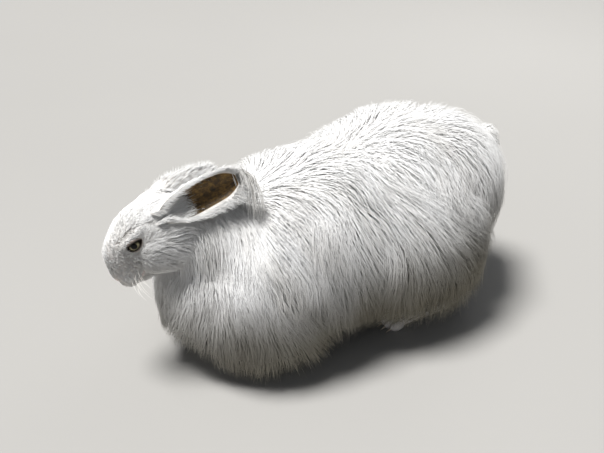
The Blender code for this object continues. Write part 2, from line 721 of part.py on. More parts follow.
def toes(paw_tip, width, height, length, grow):
    """The toes of one paw, side by side, each with its claw."""
    made = []
    for i in range(TOES_PER_PAW):
        share = i / (TOES_PER_PAW - 1) - 0.5
        reach = length * (0.16 - 0.5 * share**2 * 0.5)
        centre = np.array(paw_tip) + np.array((-reach, share * width * 0.74, height * 0.36))
        radii = np.array((length * 0.20, width * 0.15, height * 0.36)) + grow
        made.append(ellipsoid("toe", centre, np.diag(radii), 6, 5))
        claw_root = centre + np.array((-radii[0] * 0.55, 0, -height * 0.02))
        claw_tip = claw_root + np.array((-0.0095, 0, -height * 0.24))
        places = [claw_root, (claw_root * 0.45 + claw_tip * 0.55) + (0, 0, 0.0006), claw_tip]
        sizes = [(0.0014 + grow,) * 2, (0.0009 + grow,) * 2, (0.0003 + grow,) * 2]
        made.append(tapered("claw", places, sizes, SIDEWAYS, 4))
    return made


def foreleg(name, side, grow=0.0):
    """Forearm, wrist and paw with toes, flat under its sole."""
    x, y = FORELEG_X, side * FORELEG_Y
    wide, high = FOREPAW_WIDTH / 2, FOREPAW_HEIGHT / 2
    arm_places = [(x + 0.012, y, 0.072), (x + 0.010, y, 0.045), (x + 0.006, y, 0.024), (x, y, 0.008)]
    arm_sizes = [(r + grow, r + grow) for r in FOREARM_RADII]
    arm = tapered(name, arm_places, arm_sizes, SIDEWAYS)
    palm_end = x - FOREPAW_LENGTH * 0.6
    palm_places = [(x + 0.014, y, high * 0.8), (x, y, high * 0.85), (palm_end, y, high * 0.8)]
    palm_sizes = [(wide * w + grow, high * h + grow) for w, h in PALM_SHARES]
    palm = tapered("palm", palm_places, palm_sizes, SIDEWAYS)
    tip = (x - FOREPAW_LENGTH * 0.5, y, 0)
    modify(arm, "UNION", [palm, *toes(tip, FOREPAW_WIDTH, FOREPAW_HEIGHT, FOREPAW_LENGTH, grow)])
    return modify(arm, "DIFFERENCE", [floor_block(0.0)])


def hindleg(name, side, grow=0.0):
    """Shank, hock and long foot with toes, flat under its sole."""
    y = side * HINDLEG_Y
    wide, high = HINDFOOT_WIDTH / 2, HINDFOOT_HEIGHT / 2
    length = HIND_HEEL_X - HIND_TOE_X
    foot_places = [
        (HIND_HEEL_X + 0.002, y, high * 0.9),
        (HIND_HEEL_X - length * 0.15, y, high * 0.92),
        (HIND_HEEL_X - length * 0.55, y, high * 0.80),
        (HIND_TOE_X + length * 0.12, y, high * 0.62),
    ]
    foot_sizes = [(wide * w + grow, high * h + grow) for w, h in FOOT_SHARES]
    foot = tapered(name, foot_places, foot_sizes, SIDEWAYS)
    shank_places = [
        (HIND_HEEL_X - 0.006, y, 0.013),
        (HIND_HEEL_X - 0.013, y, 0.035),
        (HIND_HEEL_X - 0.035, y * 0.92, 0.062),
        (HIND_HEEL_X - 0.057, y * 0.82, 0.085),
    ]
    shank = tapered("shank", shank_places, [(r + grow, r + grow) for r in SHANK_RADII], SIDEWAYS)
    tip = (HIND_TOE_X + length * 0.14, y, 0)
    modify(foot, "UNION", [shank, *toes(tip, HINDFOOT_WIDTH, HINDFOOT_HEIGHT * 0.75, length * 0.5, grow)])
    return modify(foot, "DIFFERENCE", [floor_block(0.0)])


def tail(name, grow=0.0):
    """A short raised scut: its core, and locks round it that end past its tip."""
    way = np.array((cos(TAIL_RISE), 0, sin(TAIL_RISE)))
    up = np.cross(way, SIDEWAYS)
    shares = (0.0, 0.25, 0.5, 0.75, 0.92, 1.0)
    sizes = (0.50, 0.85, 1.0, 0.86, 0.52, 0.12)
    reach = 0.009 + TAIL_COAT * CORE_SHARE + grow
    places = [TAIL_ROOT + way * (TAIL_LENGTH + TAIL_COAT * CORE_SHARE) * s for s in shares]
    core = tapered(name, places, [(reach * 1.15 * s, reach * s) for s in sizes], SIDEWAYS)
    locks = []
    for share, turn, length in TAIL_LOCKS:
        out = up * cos(radians(turn)) + SIDEWAYS * sin(radians(turn))
        radius = (reach - grow) * np.interp(share, shares, sizes)
        root = TAIL_ROOT + way * TAIL_LENGTH * share + out * radius
        places = curl(root, way + out * 0.30, way + np.array((0.25, 0, -0.45)), length)
        places[0] = root - out * TAIL_LOCK_SINK
        widths = np.array(LOCK_WIDTH_SHARES) * TAIL_LOCK_WIDTH
        outs = np.tile(out, (len(places), 1))
        locks.append(flat_lock("tail_lock", places, outs, widths, TAIL_LOCK_THICKNESS, 0.0, grow))
    return modify(core, "UNION", locks)


def groove(name, places, outs, depth, width):
    """A wedge along places on a surface, which cuts a line as deep and wide as given."""
    places, outs = np.array(places, float), np.array(outs, float)
    heading = np.gradient(places, axis=0)
    sides = np.cross(heading, outs)
    sides /= np.linalg.norm(sides, axis=1, keepdims=True)
    lift = 0.0025
    spread = width / 2 * (1 + lift / depth)
    brow = places + outs * lift
    rings = np.stack([places - outs * depth, brow + sides * spread, brow - sides * spread], 1)
    return closed_tube(name, rings)


def slope(field, points, step=1e-4):
    """The way in which a field rises fastest."""
    rise = [field(points + step * axis) - field(points - step * axis) for axis in np.eye(3)]
    way = np.stack(rise, -1)
    return way / np.linalg.norm(way, axis=-1, keepdims=True)


def mouth_cuts():
    """The line of the mouth from side to side, the cleft under the nose and the two nostrils."""
    across = np.linspace(-1, 1, 13)
    angles = np.radians(180 - MOUTH_TURN * np.abs(across))
    s = MOUTH_CORNER_S + (MOUTH_FRONT_S - MOUTH_CORNER_S) * (1 - np.abs(across)) ** 0.8
    starts = SKULL_BACK + FORWARD * s[:, None] - HEAD_UP * 0.0095
    sideways = (np.sign(across) * np.sin(angles))[:, None]
    ways = HEAD_LAT * sideways + FORWARD * 0.8 * (1 - np.sin(angles))[:, None] - HEAD_UP * 0.25
    made = [muzzle_groove("mouth", starts, ways, 0.0016, 0.0012)]
    for side in (-1, 1):
        lean = np.linspace(0, 1, 4)[:, None]
        starts = np.tile(SKULL_BACK + FORWARD * (MOUTH_FRONT_S - 0.006) + HEAD_UP * 0.0015, (4, 1))
        ways = FORWARD + HEAD_LAT * side * (0.16 + 0.42 * lean) + HEAD_UP * (-0.16 + 0.42 * lean)
        made.append(muzzle_groove("nostril", starts, ways, 0.0026, 0.0018))
    steep = np.linspace(-0.30, -0.86, 4)[:, None]
    starts = np.tile(SKULL_BACK + FORWARD * (MOUTH_FRONT_S - 0.0085), (4, 1))
    made.append(muzzle_groove("cleft", starts, FORWARD + HEAD_UP * steep, 0.0015, 0.0011))
    return made


def muzzle_groove(name, starts, ways, depth, width):
    """A groove along where the rays from the starts meet the muzzle's surface."""
    ways = ways / np.linalg.norm(ways, axis=1, keepdims=True)
    places = cast(muzzle_surface, starts, ways, 0.05)
    return groove(name, places, slope(head_field, places), depth, width)


def muzzle_surface(points):
    return head_field(points) - head_coat(points)


def head_coat(points):
    """The short coat of the head: next to nothing on the muzzle, deeper on the cheeks."""
    s = -in_head_frame(points)[..., 0]
    return HEAD_COAT * (0.35 + 0.65 * np.clip((0.085 - s) / 0.035, 0, 1))


def head(name):
    """The head with its lids, mouth and nostrils, before its locks."""
    skull = closed_tube(name, head_grid(muzzle_surface, 24, 20)[1:-1])
    lids = [ball("lids", eye_centre(side), EYE_RADIUS + LID_THICKNESS, eye_look(side)) for side in (-1, 1)]
    modify(skull, "UNION", lids)
    cutters = [eye_slit(-1), eye_slit(1), eye("socket", -1, GAP), eye("socket", 1, GAP)]
    modify(skull, "DIFFERENCE", cutters)
    return modify(skull, "DIFFERENCE", mouth_cuts())


def trunk(name, share):
    """The trunk with its coat's core, which fills the given share of the coat."""
    rings = trunk_grid(lambda p: trunk_field(p) - coat_depth(p) * share, 20, 22)
    return closed_tube(name, rings[1:-1])


def coloured(target, name, colour, roughness):
    material = bpy.data.materials.new(name)
    material.use_nodes = True
    shader = material.node_tree.nodes["Principled BSDF"]
    shader.inputs["Base Color"].default_value = (*colour, 1)
    shader.inputs["Roughness"].default_value = roughness
    material.diffuse_color = (*colour, 1)
    target.data.materials.clear()
    target.data.materials.append(material)


def build():
    eyes = {side: eye(f"eye_{word}", side) for side, word in ((-1, "left"), (1, "right"))}
    ears = {side: ear(f"ear_{word}", side) for side, word in ((-1, "left"), (1, "right"))}
    legs = []
    for side, word in ((-1, "left"), (1, "right")):
        legs += [foreleg(f"foreleg_{word}", side), hindleg(f"hindleg_{word}", side)]
    scut = tail("tail")

    whole = modify(trunk("whole", CORE_SHARE), "UNION", [head("head_shape"), *head_locks(), *body_locks()])
    clear = [ear_room(side) for side in (-1, 1)]
    clear += [make("clear", side, GAP) for side in (-1, 1) for make in (foreleg, hindleg)]
    clear += [tail("clear", GAP), floor_block(FLOOR_CLEARANCE)]
    modify(whole, "DIFFERENCE", clear)

    made = {}
    for name, cuts in (
        ("head", [(HEAD_CUT, True)]),
        ("neck", [(HEAD_CUT, False), (NECK_CUT, True)]),
        ("torso", [(NECK_CUT, False)]),
    ):
        piece = copy_of(whole, name)
        for cut, rear in cuts:
            modify(piece, "DIFFERENCE", [half_space(cut, rear, "cut")])
        made[name] = keep_largest(piece)
    bpy.data.objects.remove(whole)

    coat = (0.90, 0.90, 0.88)
    for target in [*made.values(), scut, *legs]:
        coloured(target, "white_coat", coat, 0.75)
    for target in ears.values():
        coloured(target, "ear_skin", (0.42, 0.29, 0.12), 0.6)
    for target in eyes.values():
        coloured(target, "eye_glass", (0.05, 0.05, 0.06), 0.08)
    to_origin([*made.values(), *eyes.values(), *ears.values(), *legs, scut])


def to_origin(targets):
    """Moves the meshes so that the middle of the model's box is over the origin."""
    places = np.concatenate([[vertex.co for vertex in target.data.vertices] for target in targets])
    middle = (places.max(0) + places.min(0)) / 2
    for target in targets:
        target.data.transform(Matrix.Translation((-middle[0], -middle[1], 0)))


for old in list(bpy.data.objects):
    bpy.data.objects.remove(old)
build()
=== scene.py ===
"""Dresses the angora rabbit: one skin, glassy eyes with lids, furled ears, claws, and the long silky coat.

The rabbit faces -X with its left side towards -Y, and the floor is Z = 0. Places are worked out in the frame
that the flesh's ellipsoids are written in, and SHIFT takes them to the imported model's frame.
"""

from functools import cache
from math import ceil, cos, pi, radians, sin

import bpy
import numpy as np
from bpy.props import FloatProperty, FloatVectorProperty, IntProperty, PointerProperty
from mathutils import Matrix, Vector


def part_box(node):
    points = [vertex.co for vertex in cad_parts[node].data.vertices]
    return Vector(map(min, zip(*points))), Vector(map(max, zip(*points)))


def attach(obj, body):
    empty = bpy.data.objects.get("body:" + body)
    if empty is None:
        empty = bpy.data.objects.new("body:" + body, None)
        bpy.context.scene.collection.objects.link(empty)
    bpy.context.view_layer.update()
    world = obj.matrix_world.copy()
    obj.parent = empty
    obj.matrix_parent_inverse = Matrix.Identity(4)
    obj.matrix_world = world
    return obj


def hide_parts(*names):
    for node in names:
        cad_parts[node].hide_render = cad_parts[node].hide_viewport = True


bl_info = {
    "name": "Angora Rabbit",
    "version": (1, 0, 0),
    "blender": (4, 5, 0),
    "location": "View3D > Sidebar > Rabbit",
    "description": "Skin, eyes, ears, claws and a long mesh coat for a life-size angora rabbit",
    "category": "Add Mesh",
}

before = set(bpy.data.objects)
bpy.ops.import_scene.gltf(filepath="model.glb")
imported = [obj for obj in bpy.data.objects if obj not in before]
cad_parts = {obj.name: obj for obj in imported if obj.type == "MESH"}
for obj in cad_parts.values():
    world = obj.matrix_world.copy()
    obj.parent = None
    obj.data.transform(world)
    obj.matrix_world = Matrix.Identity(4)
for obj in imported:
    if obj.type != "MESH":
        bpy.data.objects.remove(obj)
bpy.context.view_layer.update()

# Head: S runs from the back of the skull to the nose, LAT to the rabbit's right, V up from that line
SKULL_BACK = np.array((-0.146, 0.0, 0.190))
HEAD_PITCH, HEAD_ROLL = radians(53), radians(8)
SIDEWAYS = np.array((0.0, 1.0, 0.0))
DOWN = np.array((0.0, 0.0, -1.0))
FRONT_DOWN = np.array((-1.0, 0.0, -0.35))
FORWARD = np.array((-cos(HEAD_PITCH), 0.0, -sin(HEAD_PITCH)))
LEVEL_UP = np.array((-sin(HEAD_PITCH), 0.0, cos(HEAD_PITCH)))
HEAD_LAT = SIDEWAYS * cos(HEAD_ROLL) - LEVEL_UP * sin(HEAD_ROLL)
HEAD_UP = LEVEL_UP * cos(HEAD_ROLL) + SIDEWAYS * sin(HEAD_ROLL)

EYE_RADIUS = 0.0085
EYE_S, EYE_LAT, EYE_V = 0.047, 0.0145, 0.0130

EAR_LENGTH, EAR_WIDTH, EAR_WALL = 0.078, 0.030, 0.0022
EAR_ROOT = (0.010, 0.0165, 0.0040)  # s, lat and v of the middle of the ear's root
EAR_WAYS = {-1: (0.925, -0.180, 0.318), 1: (0.886, 0.462, -0.051)}  # from root to tip, left and right

FORELEG_X, FORELEG_Y = -0.058, 0.047
FOREPAW_LENGTH, FOREPAW_WIDTH, FOREPAW_HEIGHT = 0.044, 0.023, 0.018
HIND_TOE_X, HIND_HEEL_X, HINDLEG_Y = 0.070, 0.163, 0.066
HINDFOOT_WIDTH, HINDFOOT_HEIGHT = 0.027, 0.024
TOES_PER_PAW = 4

TAIL_ROOT = np.array((0.186, 0.0, 0.146))
TAIL_LENGTH, TAIL_RISE = 0.054, radians(32)
TAIL_WAY = np.array((cos(TAIL_RISE), 0.0, sin(TAIL_RISE)))


def head_point(s, lat, v):
    """The place at s along the head, lat to its right and v up."""
    return SKULL_BACK + FORWARD * s + HEAD_LAT * lat + HEAD_UP * v


NOSE_TIP = head_point(0.0905, 0, 0.001)


def both_sides(centre, radii, pitch=0.0):
    """The same ellipsoid on the rabbit's left and right."""
    x, y, z = centre
    return [((x, -y, z), radii, pitch), ((x, y, z), radii, pitch)]


# Flesh of the trunk: centre, radii and pitch of each ellipsoid, where a positive pitch turns the front down
TRUNK_BLEND = 0.016
TRUNK = [
    ((-0.005, 0, 0.118), (0.120, 0.063, 0.060), 0.0),
    ((0.108, 0, 0.135), (0.096, 0.066, 0.060), radians(4)),
    ((0.163, 0, 0.130), (0.052, 0.054, 0.052), 0.0),
    *both_sides((0.106, 0.046, 0.102), (0.070, 0.037, 0.057), radians(-10)),
    ((-0.092, 0, 0.090), (0.054, 0.054, 0.060), 0.0),
    *both_sides((-0.060, 0.043, 0.086), (0.057, 0.034, 0.056)),
    ((-0.098, 0, 0.141), (0.052, 0.038, 0.034), radians(-25)),
]

# Flesh of the head, in its own frame: s, lat and v of each centre, radii and extra pitch
HEAD_BLEND = 0.006
HEAD = [
    ((0.030, 0, 0.002), (0.034, 0.0220, 0.0225), 0.0),
    ((0.037, 0, 0.0110), (0.022, 0.0150, 0.0185), 0.0),
    ((0.056, 0, 0.0055), (0.031, 0.0175, 0.0245), 0.0),
    ((0.0735, 0, -0.001), (0.0215, 0.0130, 0.0185), 0.0),
    *both_sides((0.040, 0.014, -0.013), (0.026, 0.0125, 0.019)),
    ((0.057, 0, -0.0160), (0.026, 0.011, 0.009), 0.0),
    *both_sides((0.0805, 0.0065, -0.005), (0.0125, 0.0085, 0.0105)),
    ((0.0730, 0, -0.0155), (0.011, 0.0075, 0.0060), 0.0),
    *both_sides((0.045, 0.0145, 0.018), (0.014, 0.0065, 0.0055), radians(-8)),
]

# Depth of the coat over the flesh near each of these places
COAT_DEPTHS = [
    ((0.00, 0.00, 0.200), 0.024),
    ((0.11, 0.00, 0.215), 0.029),
    ((0.22, 0.00, 0.150), 0.032),
    *[((0.00, side, 0.120), 0.036) for side in (-0.08, 0.08)],
    *[((0.12, side, 0.110), 0.031) for side in (-0.10, 0.10)],
    ((0.00, 0.00, 0.040), 0.030),
    ((0.12, 0.00, 0.040), 0.024),
    *[((-0.08, side, 0.080), 0.034) for side in (-0.08, 0.08)],
    ((-0.15, 0.00, 0.070), 0.018),
    ((-0.09, 0.00, 0.040), 0.028),
    ((-0.08, 0.00, 0.190), 0.011),
    ((-0.13, 0.00, 0.160), 0.007),
    *[((0.18, side, 0.070), 0.020) for side in (-0.07, 0.07)],
    ((0.20, 0.00, 0.070), 0.022),
]
DEPTH_SPREAD = 0.045

# The line inside the trunk that its surface is cast from, rear to front (x, z)
TRUNK_LINE = np.array(
    ((0.175, 0.122), (0.13, 0.124), (0.05, 0.118), (-0.03, 0.112), (-0.085, 0.108), (-0.105, 0.118))
)

# The coat's hem: its height (x, z) under the flanks, and how much higher it ends for each metre further out
HEM_LINE = np.array(
    ((-0.15, 0.034), (-0.12, 0.008), (-0.10, 0.003), (-0.04, 0.003), (0.00, 0.011), (0.03, 0.026),
     (0.06, 0.014), (0.15, 0.010), (0.19, 0.018), (0.21, 0.026), (0.24, 0.060))
)
HEM_FLANK, HEM_RISE = 0.060, 0.30

# Where each part's strands have their patches in the coat's UV map: left, bottom, width, height
TRUNK_PATCH = (0.02, 0.02, 0.96, 0.56)
HEAD_PATCH = (0.02, 0.62, 0.40, 0.34)
EAR_PATCH = {-1: (0.46, 0.62, 0.14, 0.34), 1: (0.62, 0.62, 0.14, 0.34)}
TAIL_PATCH = (0.78, 0.62, 0.08, 0.34)
LEG_PATCH = (0.88, 0.62, 0.10, 0.34)
PATCH_SIZE = 0.003  # the size of one strand in the map

COAT_STEPS, SHORT_STEPS, TUFT_STEPS = 5, 4, 7  # places on the path of a long, a short and a tuft's strand
PIECE_TRIANGLES = 185000  # the most in one piece of the coat
FEW = 1
LOOSE = 0.14  # the share of long strands that stay out of their wisp
STIFFNESS = 0.45  # how much of its last heading a strand keeps at each step
LOWEST = 0.0015  # no long strand comes nearer to the floor
WISP_RADIUS, WHISKER_WIDTH = 0.012, 0.00026
BARE_NOSE, BARE_GROOVE = 0.0062, 0.0016  # how far round them no hair grows
BARE_EYE = (0.0093, 0.0058)  # half the length and height of the oval without hair
LENS_SHIFT = 13.5 / 604  # as a share of the picture's width
FLOOR_REACH = 4  # from the middle to each edge
TAIL_HAIRS, TAIL_WISPS, FACE_WISPS = 2400, 120, 1700
LIMB_HAIRS = 700  # on each part of a limb
FRINGE_HAIRS, LINING_HAIRS, TUFT_HAIRS = 2200, 420, {-1: 190, 1: 70}  # on each ear
LINING_WISPS, TUFT_WISPS = 16, 9
CAST_MARKS, HALVINGS = 40, 16  # how finely a ray is searched for the surface
MOST_PAIRS = 20000000  # distances worked out at once

# The ear tuft's path from the ear's tip, in shares of its length: back, outwards and up
TUFT_GUIDE = ((0, 0, 0), (0.17, 0.04, 0.07), (0.33, 0.18, -0.02), (0.36, 0.42, -0.40), (0.27, 0.62, -0.82))


def unit(ways):
    """Each way at a length of 1."""
    return ways / np.maximum(np.linalg.norm(ways, axis=-1, keepdims=True), 1e-12)


def dot(first, second):
    """The sum of products of each pair, kept as a column."""
    return (first * second).sum(-1, keepdims=True)


def fade(value, width):
    """0 up to a value of 0, 1 from the width on, and a straight line in between."""
    return np.clip(value / width, 0, 1)


def circle(turns):
    """Even angles once round."""
    return np.linspace(0, 2 * pi, turns, endpoint=False)


def along_path(steps):
    """Shares from 0 at a path's root to 1 at its tip, in the shape that paths have."""
    return np.linspace(0, 1, steps)[None, :, None]


def ellipsoid_fields(points, parts):
    """How far each point is outside each ellipsoid: k (k - 1) / |gradient of k|, with k its scaled radius."""
    found = []
    for centre, radii, pitch in parts:
        offset = points - np.asarray(centre)
        along = offset[..., 0] * cos(pitch) + offset[..., 2] * sin(pitch)
        across = -offset[..., 0] * sin(pitch) + offset[..., 2] * cos(pitch)
        local = np.stack([along, offset[..., 1], across], -1)
        near = np.linalg.norm(local / radii, axis=-1)
        steep = np.linalg.norm(local / np.square(radii), axis=-1)
        found.append(near * (near - 1) / np.maximum(steep, 1e-9))
    return np.stack(found)


def blended(points, parts, blend):
    """Signed distance to the ellipsoids melted together: the soft least of their fields."""
    fields = ellipsoid_fields(points, parts)
    nearest = fields.min(0)
    soft = blend / 4
    return nearest - soft * np.log(np.exp(-(fields - nearest) / soft).sum(0))


def trunk_field(points):
    """Distance to the trunk's flesh: its ellipsoids melted together."""
    return blended(points, TRUNK, TRUNK_BLEND)


def in_head_frame(points):
    """Points as x = -s, y = lat, z = v, the frame in which the head's ellipsoids are written."""
    offset = points - SKULL_BACK
    return np.stack([-(offset @ FORWARD), offset @ HEAD_LAT, offset @ HEAD_UP], -1)
def head_places(points):
    """s, lat and v of each point."""
    return (in_head_frame(points) * (-1, 1, 1)).T


HEAD_PARTS = [((-s, lat, v), radii, pitch) for (s, lat, v), radii, pitch in HEAD]


def head_field(points):
    """Distance to the head's flesh: its ellipsoids melted together in the head's own frame."""
    return blended(in_head_frame(points), HEAD_PARTS, HEAD_BLEND)


def slope(field, points):
    """The way in which a field rises fastest, from its differences along each axis."""
    rise = [field(points + step) - field(points - step) for step in np.eye(3) * 2e-4]
    return unit(np.stack(rise, -1))


def coat_depth(points):
    """Depth of the coat at each point: the mean of the depths listed, weighted by a bell round each place."""
    places, depths = (np.array(column) for column in zip(*COAT_DEPTHS))
    apart = np.square(points[..., None, :] - places).sum(-1)
    weight = np.exp(-apart / (2 * DEPTH_SPREAD**2)) + 1e-9
    return (weight * depths).sum(-1) / weight.sum(-1)


def hem_height(points):
    """How high over the floor the coat ends at each place."""
    line = np.interp(points[..., 0], HEM_LINE[:, 0], HEM_LINE[:, 1])
    return line + HEM_RISE * np.maximum(np.abs(points[..., 1]) - HEM_FLANK, 0)


def swirl(points, size, seed):
    """Smooth noise between about -1 and 1: the sum of eight plane waves in random directions."""
    draw = np.random.default_rng(seed)
    ways = unit(draw.normal(size=(8, 3))) * draw.uniform(0.6, 1.6, (8, 1)) * 2 * pi / size
    turns = draw.uniform(0, 2 * pi, 8)
    return np.sin(points @ ways.T + turns).sum(-1) / 2.8


def cast(field, starts, ways, reach):
    """The place on each ray where the field turns positive, found by halving."""
    marks = np.linspace(0, reach, CAST_MARKS)
    outside = np.stack([field(starts + ways * mark) > 0 for mark in marks], -1)
    first = np.maximum(np.argmax(outside, axis=-1), 1)
    low, high = marks[first - 1], marks[first]
    for _ in range(HALVINGS):
        middle = (low + high) / 2
        out = field(starts + ways * middle[..., None]) > 0
        high = np.where(out, middle, high)
        low = np.where(out, low, middle)
    return starts + ways * ((low + high) / 2)[..., None]


def rays(line, tangents, up, side, turns, end_power):
    """Rays from a line in rings, tilted along it by 89.9 degrees * |2 share - 1| ** end_power to its ends."""
    share = np.linspace(0, 1, len(line))
    tilt = radians(89.9) * np.sign(2 * share - 1) * np.abs(2 * share - 1) ** end_power
    angle = circle(turns)[None, :, None]
    radial = np.cos(angle) * up[:, None, :] + np.sin(angle) * side
    ways = radial * np.cos(tilt)[:, None, None] + tangents[:, None, :] * np.sin(tilt)[:, None, None]
    return np.broadcast_to(line[:, None, :], ways.shape), ways


def trunk_grid(field, rings, turns):
    """The trunk's surface as rings of points, from the rear end to the front."""
    share = np.linspace(0, 1, rings)

    def at(where):
        """The place at a share of the way along TRUNK_LINE."""
        marks = np.clip(where, 0, 1) * (len(TRUNK_LINE) - 1)
        count = np.arange(len(TRUNK_LINE))
        x, z = (np.interp(marks, count, TRUNK_LINE[:, i]) for i in (0, 1))
        return np.stack([x, 0 * x, z], -1)

    tangents = unit(at(share + 1e-3) - at(share - 1e-3))
    up = -np.cross(SIDEWAYS, tangents)
    starts, ways = rays(at(share), tangents, up, SIDEWAYS, turns, 3.0)
    return cast(field, starts, ways, 0.22)


def head_grid(field, rings, turns):
    """The head's surface as rings of points, from its back to the nose."""
    s = np.linspace(0.022, 0.082, rings)[:, None]
    line = SKULL_BACK + FORWARD * s - HEAD_UP * 0.002
    tangents = np.broadcast_to(FORWARD, line.shape)
    up = np.broadcast_to(HEAD_UP, line.shape)
    starts, ways = rays(line, tangents, up, HEAD_LAT, turns, 2.2)
    return cast(field, starts, ways, 0.09)


def eye_centre(side):
    """The middle of an eyeball."""
    return head_point(EYE_S, side * EYE_LAT, EYE_V)


def eye_frame(side):
    """The eye's centre, the way it looks, and the ways along and across its opening."""
    look = unit(HEAD_LAT * side + FORWARD * 0.16 + HEAD_UP * 0.14)
    along = FORWARD + HEAD_UP * 0.38
    along = unit(along - look * (along @ look))
    across = np.cross(look, along)
    return eye_centre(side), look, along, across * np.sign(across @ HEAD_UP)


def middle_of(node):
    """The middle of a node's box."""
    low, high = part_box(node)
    return (np.array(low) + np.array(high)) / 2


SHIFT = (middle_of("eye_left") + middle_of("eye_right") - eye_centre(-1) - eye_centre(1)) / 2
SHIFT[2] = 0.0


def ear_frame(side):
    """Root, and the ways along the ear, across it and out of its cup."""
    s, lat, v = EAR_ROOT
    along = unit(np.array(EAR_WAYS[side]))
    out = np.array((-0.22, side * 0.88, 0.36))
    out = unit(out - along * (out @ along))
    return head_point(s, side * lat, v), along, np.cross(along, out) * side, out


def ear_point(side, share, turn, wall=0.0):
    """A place on the ear's shell: share of the way up it, and turn from -1 to 1 round its cup.

    It is an arc round a middle line: its angle is the turn times a roll from 125 degrees at the root to 50
    at the tip, and its radius is half the width over the roll's sine. The width goes as a sine's power.
    """
    root, along, across, out = ear_frame(side)
    share, turn = np.asarray(share, float), np.asarray(turn, float)
    near = np.clip(share, 0, 1)
    width = EAR_WIDTH * (0.36 + 0.64 * np.sin(pi * near**0.75 * 0.80) ** 0.9)
    width = width * np.sqrt(np.clip(1 - fade(share - 0.80, 0.215) ** 2, 0.004, 1))
    roll = np.radians(125 - 75 * near**0.6)
    radius = width / 2 / np.maximum(np.sin(np.minimum(roll, pi / 2)), 0.3)
    angle = (turn * roll)[..., None]
    radius = radius[..., None]
    centre = root + along * EAR_LENGTH * share[..., None] - out * 0.004 * (share**2)[..., None]
    reach = radius + (wall if np.ndim(wall) == 0 else np.asarray(wall)[..., None])
    return centre + across * reach * np.sin(angle) - out * (reach * np.cos(angle) - reach * 0.5)


# Meshes


def grid_faces(rings, turns):
    """The four corners of each face between neighbouring rings, closed round each ring."""
    i, j = np.meshgrid(np.arange(rings - 1), np.arange(turns), indexing="ij")
    k = (j + 1) % turns
    low, high = i * turns, (i + 1) * turns
    return np.stack([low + j, low + k, high + k, high + j], -1).reshape(-1, 4)


def put_object(name, data):
    """A new object of the scene."""
    made = bpy.data.objects.new(name, data)
    bpy.context.scene.collection.objects.link(made)
    return made


def put_mesh(name, points, faces):
    """An object from arrays of points and of faces with three or four corners, facing outwards."""
    mesh = bpy.data.meshes.new(name)
    points = np.asarray(points, float) + SHIFT
    mesh.from_pydata(points.tolist(), [], [face for group in faces for face in group.tolist()])
    made = put_object(name, mesh)
    if volume(made) < 0:
        mesh.flip_normals()
    mesh.shade_smooth()
    return made


def volume(target):
    """Signed volume of a closed mesh, the sum of a . (b x c) / 6 over its triangles."""
    mesh = target.data
    mesh.calc_loop_triangles()
    corners = np.zeros(len(mesh.loop_triangles) * 3, np.int32)
    mesh.loop_triangles.foreach_get("vertices", corners)
    a, b, c = read_points(target)[corners.reshape(-1, 3)].transpose(1, 0, 2)
    return float((a * np.cross(b, c)).sum() / 6)


def read_points(target):
    """The mesh's points as an array."""
    found = np.zeros(len(target.data.vertices) * 3, np.float32)
    target.data.vertices.foreach_get("co", found)
    return found.reshape(-1, 3).astype(float)


def closed_grid(name, rings):
    """A closed surface over rings of points, with a point at the middle of each end."""
    count, turns = rings.shape[:2]
    points = np.concatenate([rings.reshape(-1, 3), [rings[0].mean(0)], [rings[-1].mean(0)]])
    j = np.arange(turns)
    k = (j + 1) % turns
    first, last = np.full(turns, count * turns), np.full(turns, count * turns + 1)
    low = np.stack([first, k, j], -1)
    high = np.stack([last, (count - 1) * turns + j, (count - 1) * turns + k], -1)
    return put_mesh(name, points, [grid_faces(count, turns), low, high])


def unwrap(target, rings, turns, patch):
    """The OFBake map of a closed grid: its rings and turns, spread over a patch."""
    corners = np.zeros(len(target.data.loops), np.int32)
    target.data.loops.foreach_get("vertex_index", corners)
    ring, turn = np.divmod(np.minimum(corners, rings * turns - 1), turns)
    quads = turn[: (rings - 1) * turns * 4].reshape(-1, 4)
    quads += turns * ((quads == 0) & (quads.max(1, keepdims=True) == turns - 1))
    left, bottom, wide, high = patch
    spots = np.stack([left + wide * ring / rings, bottom + high * turn / turns], -1)
    layer = target.data.uv_layers.new(name="OFBake")
    layer.data.foreach_set("uv", spots.astype(np.float32).ravel())


def smooth_path(places, count):
    """Places read evenly from a curve through the given ones: a Catmull-Rom spline."""
    places = np.asarray(places, float)
    padded = np.concatenate([[2 * places[0] - places[1]], places, [2 * places[-1] - places[-2]]])
    marks = np.linspace(0, len(places) - 1, count)
    i = np.minimum(marks.astype(int), len(places) - 2)
    t = (marks - i)[:, None]
    a, b, c, d = (padded[i + n] for n in range(4))
    return 0.5 * (2 * b + (c - a) * t + (2 * a - 5 * b + 4 * c - d) * t**2 + (3 * b - a - 3 * c + d) * t**3)


def limb_grid(places, radii, rings=18, turns=24):
    """Rings round a smooth path, as ellipses whose width and height follow the radii."""
    path = smooth_path(places, rings)
    sizes = smooth_path(radii, rings)
    heading = unit(np.gradient(path, axis=0))
    up = unit(np.cross(heading, SIDEWAYS))
    angle = circle(turns)
    wide = np.cos(angle)[None, :, None] * SIDEWAYS * sizes[:, None, :1]
    high = np.sin(angle)[None, :, None] * up[:, None, :] * sizes[:, None, 1:]
    return path[:, None, :] + wide + high


def ball_grid(centre, radii):
    """An ellipsoid as rings: centre + radii * (cos a cos b, sin a cos b, sin b)."""
    b = np.linspace(-pi / 2 + 0.02, pi / 2 - 0.02, 14)[:, None]
    a = circle(18)[None, :]
    ball = np.stack([np.cos(a) * np.cos(b), np.sin(a) * np.cos(b), np.sin(b) + 0 * a], -1)
    return np.asarray(centre) + ball * np.asarray(radii)


